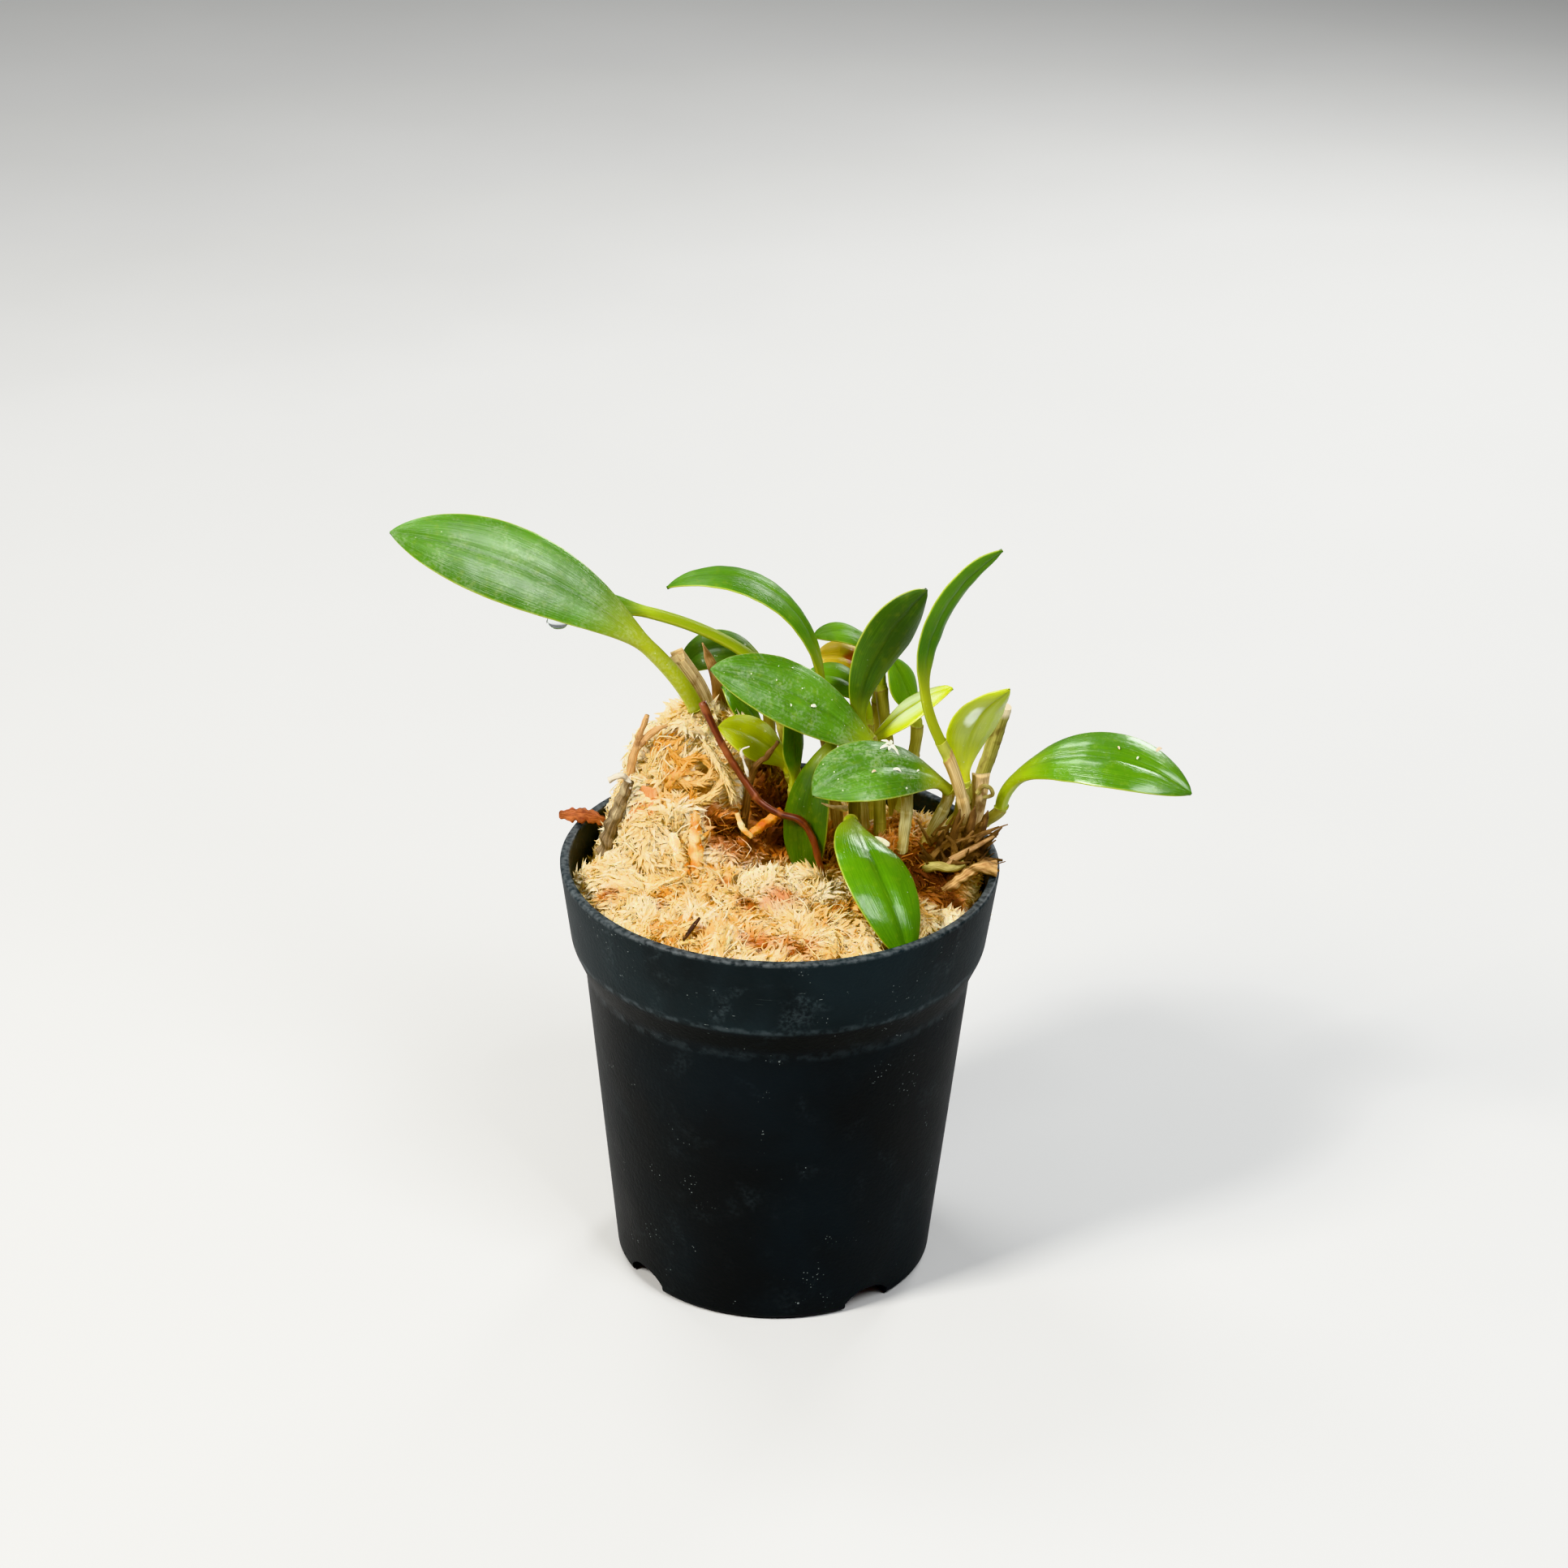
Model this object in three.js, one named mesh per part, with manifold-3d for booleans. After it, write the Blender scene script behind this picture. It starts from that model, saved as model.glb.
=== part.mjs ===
// A miniature orchid in a small round nursery pot filled with long-fibre sphagnum moss.
// Millimetres, +Z up. The origin is the centre of the pot's flat underside.
// -Y is the front, the side that the photograph shows; +X is its right.

import * as THREE from 'three';
import { mergeVertices } from 'three/addons/utils/BufferGeometryUtils.js';
import Module from 'manifold-3d';

const wasm = await Module();
wasm.setup();

// Pot
const POT_TOP_RADIUS = 25;
const POT_HEIGHT = 50.1;
const POT_BASE_RADIUS = 18.3;
const WALL = 1.1;
const FLOOR = 1.3;
const BODY_TOP = { radius: 22.1, height: 37.1 };
const COLLAR_FOOT = { radius: 23.7, height: 40.7 };
const LIP_ROUND = 0.4;
const NOTCH = { width: 6, height: 2.2, depth: 3.4 };
const NOTCH_AZIMUTHS = [-53, 37, 127, 217];
const POT_SIDES = 64;

// Moss bed
const FIT_GAP = 0.3;
const BOOLEAN_TOLERANCE = 0.15;
const MOSS_LEVEL = 47.4;
const MOSS_EDGE_RADIUS = 22.7;
const MOSS_SIDES = 36;
const MOSS_RINGS = 10;
const STRAND_COUNT = 42;
const MOSS_SEED = 7;
const STRAND_RADIUS = 0.6;
const FOOT_DEPTH = 4;

// Heaps and hollows of the moss: centre, rise (minus for a hollow) and reach along x and y
const MOSS_LUMPS = [
  { at: [-10.1, 9.5], rise: 14.8, reach: [7.6, 8.4] },
  { at: [-15.5, 1.5], rise: 3.4, reach: [5.5, 5] },
  { at: [-1, 10], rise: 5, reach: [6, 6] },
  { at: [1.5, -5], rise: 1.6, reach: [6, 4] },
  { at: [-2.5, 2.5], rise: -2.4, reach: [3.5, 3.2] },
  { at: [14.5, 4], rise: 2.8, reach: [7, 7] },
  { at: [-21, 6], rise: -4, reach: [3.2, 6] },
  { at: [21.5, -3], rise: -3, reach: [3, 4] },
  { at: [-9, -14], rise: 0.8, reach: [7, 5] },
  { at: [9, -13], rise: 0.6, reach: [7, 5] },
];

// Leaves: base of the petiole, way it sets off, how far it bends over, sizes and turn of the blade.
// heading is the compass turn from +X, rise the angle over the ground, droop what the leaf bends
// down by its tip, bend where along it that happens, swing its sideways bend, roll and twist how
// the blade is turned round its midrib. foot is where the leafy stem leaves the crown.
const LEAVES = [
  {
    name: 'left_large', base: [-9.8, 8, 64.9], heading: 180, rise: 71, droop: 61, bend: 0.57, swing: 2,
    petiole: 8.7, blade: 33.2, width: 9.4, roll: -48, twist: 0, stalk: 0.95, foot: [-5.5, 7.2],
  },
  {
    name: 'left_arched', base: [-0.6, 12.5, 65.2], heading: 185, rise: 102, droop: 105, bend: 0.3, swing: -12,
    petiole: 18, blade: 14, width: 5.5, roll: -10, twist: 0, stalk: 0.75, foot: [3, 12],
  },
  {
    name: 'back_left', base: [-1.5, 16.2, 62], heading: 180, rise: 105, droop: 170, bend: 1, swing: 2,
    petiole: 4.8, blade: 11.4, width: 5, roll: -35, twist: 0, stalk: 0.65, foot: [0, 16.6],
  },
  {
    name: 'back_long', base: [4.4, 6.8, 67.2], heading: 170, rise: 89, droop: 117, bend: 1.22, swing: 14,
    petiole: 1, blade: 25.6, width: 6.9, roll: -7, twist: 11, stalk: 0.6, foot: [7, 7.6],
  },
  {
    name: 'back_small', base: [11.3, 12.6, 66.3], heading: 185, rise: 90, droop: 115, bend: 1.19, swing: 3,
    petiole: 2.2, blade: 10, width: 4.7, roll: -6, twist: 0, stalk: 0.6, foot: [13.6, 12],
  },
  {
    name: 'yellowing', base: [10.9, 15, 63.6], heading: 185, rise: 84, droop: 99, bend: 1, swing: 1,
    petiole: 1, blade: 9, width: 5.5, roll: -29, twist: 2, stalk: 0.6, foot: [10.6, 14.6],
  },
  {
    name: 'back_low', base: [9.8, 10, 63.2], heading: 179, rise: 95, droop: 118, bend: 0.86, swing: 0,
    petiole: 1, blade: 9.6, width: 5.2, roll: -23, twist: 11, stalk: 0.6, foot: [10.8, 10.8],
  },
  {
    name: 'upright', base: [9.6, 4.8, 63.6], heading: 16, rise: 145, droop: 108, bend: 0.4, swing: 11,
    petiole: 0.5, blade: 19.3, width: 7.2, roll: 100, twist: 4, stalk: 0.7, foot: [11.4, 3.4],
    fullest: 0.66,
  },
  {
    name: 'tall', base: [17.8, -1, 65.7], heading: 19, rise: 116, droop: 97, bend: 1.26, swing: 4,
    petiole: 6.1, blade: 20.4, width: 5.3, roll: 123, twist: 0, stalk: 0.65, foot: [21.4, 2.2],
    lean: 0.42,
  },
  {
    name: 'pale', base: [9.5, 7.4, 60.3], heading: 0, rise: 54, droop: 27, bend: 0.93, swing: 0,
    petiole: 0.5, blade: 12.3, width: 6.3, roll: 3, twist: -2, stalk: 0.65, foot: [10, 7.8],
  },
  {
    name: 'behind_pale', base: [15.4, 12.2, 61.9], heading: 154, rise: 70, droop: 11, bend: 0.86, swing: 4,
    petiole: 0.5, blade: 7.6, width: 5.8, roll: -8, twist: 9, stalk: 0.65, foot: [13.2, 8.6],
  },
  {
    name: 'cupped', base: [20.8, 4, 58.4], heading: -17, rise: 95, droop: 65, bend: 1.42, swing: 4,
    petiole: 0.5, blade: 13.3, width: 7, roll: 133, twist: 7, stalk: 0.7, foot: [19.7, 6],
  },
  {
    name: 'right_large', base: [25.2, 5, 54.7], heading: -21, rise: 98, droop: 128, bend: 0.54, swing: 5,
    petiole: 3.2, blade: 23.1, width: 8.4, roll: 27, twist: -8, stalk: 0.85, foot: [18, 8.6],
  },
  {
    name: 'front_left', base: [14.1, 2.6, 57.7], heading: 187, rise: 58, droop: 43, bend: 1, swing: 6,
    petiole: 4.7, blade: 24, width: 7.9, roll: -43, twist: -3, stalk: 0.75, foot: [13.6, 1.4],
  },
  {
    name: 'front_flat', base: [18.9, 1.2, 58.6], heading: 206, rise: 49, droop: 72, bend: 0.89, swing: 7,
    petiole: 0.6, blade: 18.6, width: 8.8, roll: -33, twist: 13, stalk: 0.75, foot: [15.8, 3.2],
  },
  {
    name: 'hanging', base: [6.6, 3, 64.5], heading: 223, rise: -5, droop: 93, bend: 0.37, swing: 4,
    petiole: 0.5, blade: 18.2, width: 6.5, roll: -5, twist: 2, stalk: 0.65, foot: [8.6, 3.4],
    fullest: 0.59,
  },
  {
    name: 'drooping', base: [7.9, -2.2, 56.2], heading: -81, rise: 3, droop: 76, bend: 1.29, swing: 33,
    petiole: 0.5, blade: 20.4, width: 8.8, roll: -29, twist: 35, stalk: 0.8, foot: [12.6, -1.4],
    fullest: 0.49,
  },
  {
    name: 'low_yellow', base: [0.9, 6.5, 58], heading: 180, rise: 62, droop: 52, bend: 0.88, swing: 3,
    petiole: 0.5, blade: 9.7, width: 6.2, roll: -36, twist: 18, stalk: 0.65, foot: [3.2, 6.6],
  },
  {
    name: 'low_green', base: [1.5, 3.6, 57.6], heading: 154, rise: 90, droop: 9, bend: 0.88, swing: 3,
    petiole: 0.5, blade: 9.5, width: 4.4, roll: -9, twist: 3, stalk: 0.65, foot: [2, 3.2],
  },
  {
    name: 'low_glossy', base: [-2.2, 12.2, 59.9], heading: 186, rise: 66, droop: 25, bend: 0.87, swing: 2,
    petiole: 0.5, blade: 7.4, width: 5, roll: -24, twist: 2, stalk: 0.65, foot: [-1.6, 11],
  },
];
const LEAF_STEPS = 12;
const LEAF_THICKNESS = 0.66;
const LEAF_CAMBER = 0.16;
const LEAF_CHANNEL = 0.1;
const BLADE_END = 0.25;
const STEM_RADIUS = 0.85;
const STEM_SIDES = 6;
const STEM_STEPS = 7;
const JOINT_GAP = 0.2;

const material = (color, roughness) => new THREE.MeshStandardMaterial({ color, roughness, metalness: 0 });
const POT_PLASTIC = material('#15181b', 0.6);
const MOSS_STRAW = material('#d9a860', 0.95);
const LEAF_GREEN = material('#4f8f1c', 0.4);
const LEAF_LIME = material('#93b023', 0.35);
const LEAF_YELLOW = material('#d0b02c', 0.45);
const STEM_OLIVE = material('#8f9440', 0.6);
const SHEATH_TAN = material('#b3a060', 0.8);
const DRY_BROWN = material('#8a6238', 0.9);
const WIRY_RED = material('#5a2412', 0.6);
const BARK_ORANGE = material('#a8481d', 0.9);

// Numbers drawn in order from one seed, each from 0 to 1
function seededRandom(seed) {
  let state = seed;
  return () => {
    state = (state * 1664525 + 1013904223) % 4294967296;
    return state / 4294967296;
  };
}

const radians = THREE.MathUtils.degToRad;
const smooth = THREE.MathUtils.smoothstep;
const vector = (point) => new THREE.Vector3(...point);

// Closed solid, as a manifold, from any closed geometry
function solidOf(geometry) {
  const bare = geometry.clone();
  bare.deleteAttribute('normal');
  bare.deleteAttribute('uv');
  const welded = mergeVertices(bare, 1e-4);
  return new wasm.Manifold(new wasm.Mesh({
    numProp: 3,
    vertProperties: new Float32Array(welded.attributes.position.array),
    triVerts: new Uint32Array(welded.index.array),
  }));
}

function geometryOf(solid) {
  const mesh = solid.getMesh();
  const geometry = new THREE.BufferGeometry();
  geometry.setAttribute('position', new THREE.BufferAttribute(mesh.vertProperties, 3));
  geometry.setIndex(new THREE.BufferAttribute(mesh.triVerts, 1));
  return geometry;
}

// The one largest body of a solid, without loose scraps or sealed hollows
function largestBody(solid) {
  const bodies = solid.simplify(BOOLEAN_TOLERANCE).decompose();
  return bodies.reduce((most, body) => (body.volume() > most.volume() ? body : most));
}

// Closed skin through rings of points, flat at both ends. The second half of each ring is split
// into triangles the same way round as the first half lies over it.
function loft(rings) {
  const sides = rings[0].length;
  const positions = rings.flat().flatMap((point) => point.toArray());
  const index = [];
  for (let i = 0; i < rings.length - 1; i++) {
    for (let k = 0; k < sides; k++) {
      const next = (k + 1) % sides;
      const a = i * sides + k;
      const b = i * sides + next;
      const c = a + sides;
      const d = b + sides;
      if (k < sides / 2) {
        index.push(a, b, d, a, d, c);
      } else {
        index.push(a, b, c, b, d, c);
      }
    }
  }
  const last = (rings.length - 1) * sides;
  for (let k = 1; k < sides - 1; k++) {
    index.push(0, k + 1, k);
    index.push(last, last + k, last + k + 1);
  }
  const geometry = new THREE.BufferGeometry();
  geometry.setAttribute('position', new THREE.Float32BufferAttribute(positions, 3));
  geometry.setIndex(signedVolume(positions, index) < 0 ? index.reverse() : index);
  return geometry;
}

function signedVolume(positions, index) {
  const corner = (i) => new THREE.Vector3().fromArray(positions, 3 * i);
  let volume = 0;
  for (let i = 0; i < index.length; i += 3) {
    volume += corner(index[i]).dot(corner(index[i + 1]).cross(corner(index[i + 2]))) / 6;
  }
  return volume;
}

// Tapered round stalk along a curve, with radiusAt(0..1) and any extra length at its start
function stalk(curve, radiusAt, sides, steps) {
  const rings = [];
  for (let i = 0; i <= steps; i++) {
    const t = i / steps;
    const center = curve.getPoint(t);
    const along = curve.getTangent(t);
    const across = new THREE.Vector3(0.31, 0.95, 0.05).cross(along).normalize();
    const up = along.clone().cross(across);
    const ring = [];
    for (let k = 0; k < sides; k++) {
      const angle = (2 * Math.PI * k) / sides;
      ring.push(center.clone()
        .addScaledVector(across, radiusAt(t) * Math.cos(angle))
        .addScaledVector(up, radiusAt(t) * Math.sin(angle)));
    }
    rings.push(ring);
  }
  return loft(rings);
}

// Pot: one moulded shell turned about its axis, with notches cut through its bottom edge
function potGeometry() {
  const profile = [
    [0, 0],
    [POT_BASE_RADIUS - LIP_ROUND, 0],
    [POT_BASE_RADIUS, LIP_ROUND],
    [BODY_TOP.radius, BODY_TOP.height],
    [COLLAR_FOOT.radius, COLLAR_FOOT.height],
    [POT_TOP_RADIUS, POT_HEIGHT - LIP_ROUND],
    [POT_TOP_RADIUS - LIP_ROUND, POT_HEIGHT],
    [POT_TOP_RADIUS - WALL, POT_HEIGHT],
    [COLLAR_FOOT.radius - WALL, COLLAR_FOOT.height + WALL / 3],
    [BODY_TOP.radius - WALL, BODY_TOP.height + WALL / 3],
    [POT_BASE_RADIUS - WALL, FLOOR],
    [0, FLOOR],
  ];
  const shell = new THREE.LatheGeometry(profile.map(([r, z]) => new THREE.Vector2(r, z)), POT_SIDES);
  shell.rotateX(Math.PI / 2);
  let solid = solidOf(shell);
  for (const azimuth of NOTCH_AZIMUTHS) {
    solid = solid.subtract(solidOf(notchCutter(azimuth)));
  }
  return geometryOf(largestBody(solid));
}

// A short tunnel with a round top, pointing out of the pot at one compass turn from the front
function notchCutter(azimuth) {
  const half = NOTCH.width / 2;
  const outline = new THREE.Shape();
  outline.moveTo(-half, -1);
  outline.lineTo(half, -1);
  outline.lineTo(half, NOTCH.height * 0.4);
  outline.quadraticCurveTo(half * 0.9, NOTCH.height, 0, NOTCH.height);
  outline.quadraticCurveTo(-half * 0.9, NOTCH.height, -half, NOTCH.height * 0.4);
  outline.closePath();
  const cutter = new THREE.ExtrudeGeometry(outline, {
    depth: NOTCH.depth + 2, bevelEnabled: false, curveSegments: 4,
  });
  cutter.rotateX(Math.PI / 2);
  cutter.translate(0, -(POT_BASE_RADIUS - NOTCH.depth), 0);
  cutter.rotateZ(radians(azimuth));
  return cutter;
}

// Height of the moss surface: heaps and hollows, a fine unevenness, and a fall towards the wall
function mossHeight(x, y) {
  let z = MOSS_LEVEL;
  for (const { at, rise, reach } of MOSS_LUMPS) {
    const reachShare = ((x - at[0]) / reach[0]) ** 2 + ((y - at[1]) / reach[1]) ** 2;
    z += rise * Math.exp(-(reachShare ** 1.4));
  }
  z += 0.35 * Math.sin(1.1 * x + 0.6 * y) + 0.3 * Math.sin(0.7 * x - 1.3 * y + 1);
  z += 0.2 * Math.sin(2.1 * x + 1.7 * y + 2);
  return z - 1.2 * smooth(Math.hypot(x, y), MOSS_EDGE_RADIUS - 4, MOSS_EDGE_RADIUS);
}

// Body of the moss: rings up the inside of the pot, then rings inwards over the top
function mossCore() {
  const wallRings = [
    [POT_BASE_RADIUS - WALL - FIT_GAP - 0.1, FLOOR + FIT_GAP],
    [BODY_TOP.radius - WALL - FIT_GAP - 0.1, BODY_TOP.height],
    [COLLAR_FOOT.radius - WALL - FIT_GAP - 0.15, COLLAR_FOOT.height + 1],
  ];
  const ringAt = (radius, heightAt) => {
    const ring = [];
    for (let k = 0; k < MOSS_SIDES; k++) {
      const angle = (2 * Math.PI * k) / MOSS_SIDES;
      const x = radius * Math.cos(angle);
      const y = radius * Math.sin(angle);
      ring.push(new THREE.Vector3(x, y, heightAt(x, y)));
    }
    return ring;
  };
  const rings = wallRings.map(([radius, z]) => ringAt(radius, () => z));
  for (let i = MOSS_RINGS; i > 0; i--) {
    rings.push(ringAt((MOSS_EDGE_RADIUS * i) / MOSS_RINGS, mossHeight));
  }
  return loft(rings);
}

// One loose strand: a low arch along the surface with both ends sunk into it
function mossStrand(random) {
  const radius = (MOSS_EDGE_RADIUS - 2.5) * Math.sqrt(random());
  const angle = 2 * Math.PI * random();
  const turn = 2 * Math.PI * random();
  const length = 5 + 5 * random();
  const stand = 0.5 + 1.1 * random();
  const curl = 2 * (random() - 0.5);
  const points = [];
  for (let i = 0; i <= 4; i++) {
    const t = i / 4 - 0.5;
    const x = radius * Math.cos(angle) + length * t * Math.cos(turn) + curl * (1 - 4 * t * t);
    const y = radius * Math.sin(angle) + length * t * Math.sin(turn) - curl * (1 - 4 * t * t);
    const inward = Math.min(1, (MOSS_EDGE_RADIUS - 1) / Math.hypot(x, y));
    const lift = stand * (1 - 4 * t * t) - 0.9 * 4 * t * t;
    points.push(new THREE.Vector3(x * inward, y * inward, mossHeight(x * inward, y * inward) + lift));
  }
  return stalk(new THREE.CatmullRomCurve3(points), () => STRAND_RADIUS, 3, 4);
}

// Course of a leaf's midrib with the blade's side and face directions at each step
function leafCourse(leaf) {
  const length = leaf.petiole + leaf.blade;
  const fine = 60;
  const point = vector(leaf.base);
  const stations = [];
  for (let i = 0; i <= fine; i++) {
    const t = i / fine;
    const rise = radians(leaf.rise - leaf.droop * t ** leaf.bend);
    const heading = radians(leaf.heading + leaf.swing * t);
    const roll = radians(leaf.roll + leaf.twist * t);
    const along = new THREE.Vector3(
      Math.cos(rise) * Math.cos(heading),
      Math.cos(rise) * Math.sin(heading),
      Math.sin(rise),
    );
    if (i > 0) {
      const middle = along.clone().add(stations[i - 1].along).multiplyScalar(0.5);
      point.addScaledVector(middle, length / fine);
    }
    const level = new THREE.Vector3(-Math.sin(heading), Math.cos(heading), 0);
    const over = along.clone().cross(level);
    const side = level.clone().multiplyScalar(Math.cos(roll)).addScaledVector(over, Math.sin(roll));
    const face = level.clone().multiplyScalar(-Math.sin(roll)).addScaledVector(over, Math.cos(roll));
    stations.push({ t, point: point.clone(), along, side, face });
  }
  return stations;
}

// Half width of a leaf at t: a round stalk that widens into an ellipse pointed at the tip
function leafHalfWidth(leaf, t) {
  const start = leaf.petiole / (leaf.petiole + leaf.blade);
  const b = Math.min(1, Math.max(0, (t - start) / (1 - start)));
  const fullest = leaf.fullest ?? 0.59;
  const tipPower = 0.8;
  const basePower = (tipPower * fullest) / (1 - fullest);
  const peak = fullest ** basePower * (1 - fullest) ** tipPower;
  const blade = (leaf.width / 2) * ((b ** basePower * (1 - b) ** tipPower) / peak);
  return Math.max(BLADE_END, Math.hypot(blade, leaf.stalk * (1 - b) ** 2));
}

// Leaf: petiole and blade in one skin, arched across with a channel along the midrib
function leafGeometry(leaf, clearance = 0) {
  const course = leafCourse(leaf);
  const start = leaf.petiole / (leaf.petiole + leaf.blade);
  const across = [-1, -0.55, 0, 0.55, 1];
  const rings = [];
  for (let i = 0; i <= LEAF_STEPS; i++) {
    const station = course[Math.round((60 * i) / LEAF_STEPS)];
    const b = Math.max(0, (station.t - start) / (1 - start));
    const flat = smooth(b, 0, 0.35);
    const half = leafHalfWidth(leaf, station.t);
    const thick = THREE.MathUtils.lerp(0.85 * leaf.stalk, LEAF_THICKNESS / 2, flat);
    const place = (u, face) => {
      const arch = flat * half * (LEAF_CAMBER * (1 - u * u) - LEAF_CHANNEL * (1 - Math.abs(u)) ** 4);
      const round = Math.sqrt(1 - 0.75 * (1 - flat) * u * u);
      return station.point.clone()
        .addScaledVector(station.side, u * (half + clearance))
        .addScaledVector(station.face, arch + face * (thick + clearance) * round);
    };
    const top = across.map((u) => place(u, 1));
    const bottom = across.map((u) => place(-u, -1));
    rings.push([...top, ...bottom]);
  }
  return loft(rings);
}

// Course of the thin stem under a leaf: straight up out of the moss, then into line with the leaf
function stemCurve(leaf) {
  const along = leafCourse(leaf)[0].along;
  const [x, y] = leaf.foot;
  const foot = new THREE.Vector3(x, y, mossHeight(x, y) - FOOT_DEPTH);
  const top = vector(leaf.base).addScaledVector(along, -JOINT_GAP);
  const reach = foot.distanceTo(top);
  const low = foot.clone().add(new THREE.Vector3(0, 0, 0.35 * reach));
  const high = top.clone().addScaledVector(along, -(leaf.lean ?? 0.14) * reach);
  return new THREE.CubicBezierCurve3(foot, low, high, top);
}

// Radius of a sheathed stem: it swells at the sheath joints and flares a little at the top
function stemRadius(t) {
  const joints = 0.1 * Math.exp(-(((t - 0.35) / 0.06) ** 2)) + 0.1 * Math.exp(-(((t - 0.7) / 0.06) ** 2));
  return STEM_RADIUS * (0.95 + joints + 0.12 * smooth(t, 0.85, 1));
}

// Flat papery strip along a curve: its half width and half thickness, and the way its face turns
function strip(curve, halfWidthAt, halfThick, face, steps) {
  const rings = [];
  for (let i = 0; i <= steps; i++) {
    const t = i / steps;
    const center = curve.getPoint(t);
    const side = curve.getTangent(t).cross(face).normalize();
    const out = side.clone().cross(curve.getTangent(t)).normalize();
    const corner = (u, v) => center.clone()
      .addScaledVector(side, u * halfWidthAt(t))
      .addScaledVector(out, v * halfThick);
    rings.push([corner(-1, 1), corner(0, 1.5), corner(1, 1), corner(1, -1), corner(0, -0.5), corner(-1, -1)]);
  }
  return loft(rings);
}

const courseThrough = (points) => new THREE.CatmullRomCurve3(points.map(vector));
const linear = (from, to) => (t) => from + (to - from) * t;
const FRONT = new THREE.Vector3(0, -1, 0.3);

// Old growth and loose bits. Each build takes what its skin is grown by, so that the same call
// cuts its seat in the moss.

// Hollow cut stump beside the large left leaf: a tan tube with a torn, open top
function cutStumpLeft(grow) {
  const curve = courseThrough([[-7.2, 11, 56.2], [-8.4, 11, 62.2], [-9.6, 10.9, 66.1], [-12, 10.7, 70.1]]);
  const tube = solidOf(stalk(curve, (t) => linear(1.1, 1)(t) + grow, 8, 6));
  if (grow > 0) {
    return tube;
  }
  const bore = courseThrough([[-9.4, 10.9, 65.5], [-10.6, 10.8, 67.9], [-13, 10.6, 71.8]]);
  return tube.subtract(solidOf(stalk(bore, () => 0.55, 6, 3)));
}

// Dry spike with a broad papery foot behind that stump
function spikyStub(grow) {
  const curve = courseThrough([[-4.4, 14.6, 53.8], [-5.8, 14.4, 61], [-7.4, 13.4, 66], [-9.2, 11.8, 71.3]]);
  const width = (t) => 0.5 + 1.4 * Math.exp(-(((t - 0.35) / 0.28) ** 2)) + grow;
  return solidOf(strip(curve, width, 0.4 + grow, FRONT, 7));
}

// Forked dry bit like a small antler on the left flank of the hummock
function antlerBit(grow) {
  const stem = courseThrough([[-18, 6, 50], [-17.5, 6, 56], [-16.5, 6, 61], [-15.3, 6, 65]]);
  const prong = courseThrough([[-16.3, 6, 61], [-14.8, 6, 62.8], [-13, 6.4, 63.6]]);
  const trunk = solidOf(stalk(stem, (t) => linear(0.7, 0.45)(t) + grow, 5, 6));
  return trunk.add(solidOf(stalk(prong, (t) => linear(0.5, 0.35)(t) + grow, 5, 4)));
}

// Grey-brown crusted stub leaning out at the left, with a pale curl at its head
function crustedStub(grow) {
  const stem = courseThrough([[-20, 1.6, 46.5], [-19.5, 2, 51.6], [-18.3, 2, 55.4], [-17.2, 2, 58.6]]);
  const curl = courseThrough([[-17.2, 2, 58.2], [-18, 1.8, 59.4], [-19.5, 1.6, 58.9]]);
  const trunk = solidOf(stalk(stem, (t) => 0.95 - 0.3 * t + grow, 6, 6));
  return trunk.add(solidOf(stalk(curl, () => 0.4 + grow, 5, 4)));
}

// Sliver of bark lying over the rim at the left
function barkSliver(grow) {
  const curve = courseThrough([[-25.5, 8.4, 50.9], [-23.4, 8.6, 50.85], [-21.4, 8.4, 50.7], [-19.4, 8, 49.7]]);
  const width = (t) => 0.35 + 0.75 * Math.sin(Math.PI * t ** 0.7) + grow;
  return solidOf(strip(curve, width, 0.32 + grow, new THREE.Vector3(0, -0.5, 1), 6));
}

// Dark wiry stem that leans over the front of the hummock and bends down into the moss
function wiryStem(grow) {
  const curve = courseThrough([
    [-9, 1.5, 68.9], [-7.1, 0.8, 64.9], [-5.3, 0.4, 61.7], [-3.4, -0.5, 59.1], [-2.2, -1, 57.7],
    [-0.1, -1.5, 56.6], [2.2, -2.2, 56.2], [3.6, -2.8, 54.4], [4.3, -3.4, 52.2], [4.9, -4, 49.5],
    [5.1, -4.2, 46],
  ]);
  const section = new THREE.Shape();
  section.absarc(0, 0, 0.45 + grow, 0, 2 * Math.PI);
  return solidOf(new THREE.ExtrudeGeometry(section, {
    steps: 22, curveSegments: 3, extrudePath: curve, bevelEnabled: false,
  }));
}

// Brown twig between the hummock and the low leaves
function brownTwig(grow) {
  const curve = courseThrough([[-4.4, 2.6, 50.5], [-3.3, 2.6, 59.4], [-1.6, 2, 62.1], [-0.4, 1.6, 64.1]]);
  return solidOf(stalk(curve, (t) => linear(0.45, 0.3)(t) + grow, 5, 6));
}

// Tall cut stump at the right with a pale flat face
function cutStumpRight(grow) {
  const curve = courseThrough([[17.4, 11.2, 45.8], [20.4, 9.6, 50.6], [22.7, 8, 56.2], [25.2, 7, 66.5]]);
  return solidOf(stalk(curve, (t) => linear(0.9, 0.8)(t) + grow, 7, 8));
}

// Flared dry sheath standing in front of it
function sheathStubRight(grow) {
  const curve = courseThrough([[21, 4.4, 46], [21.9, 4.5, 50.6], [22.6, 4.4, 55], [22.7, 4.4, 59]]);
  return solidOf(strip(curve, (t) => 0.55 + 0.45 * t + grow, 0.4 + grow, FRONT, 6));
}

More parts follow.
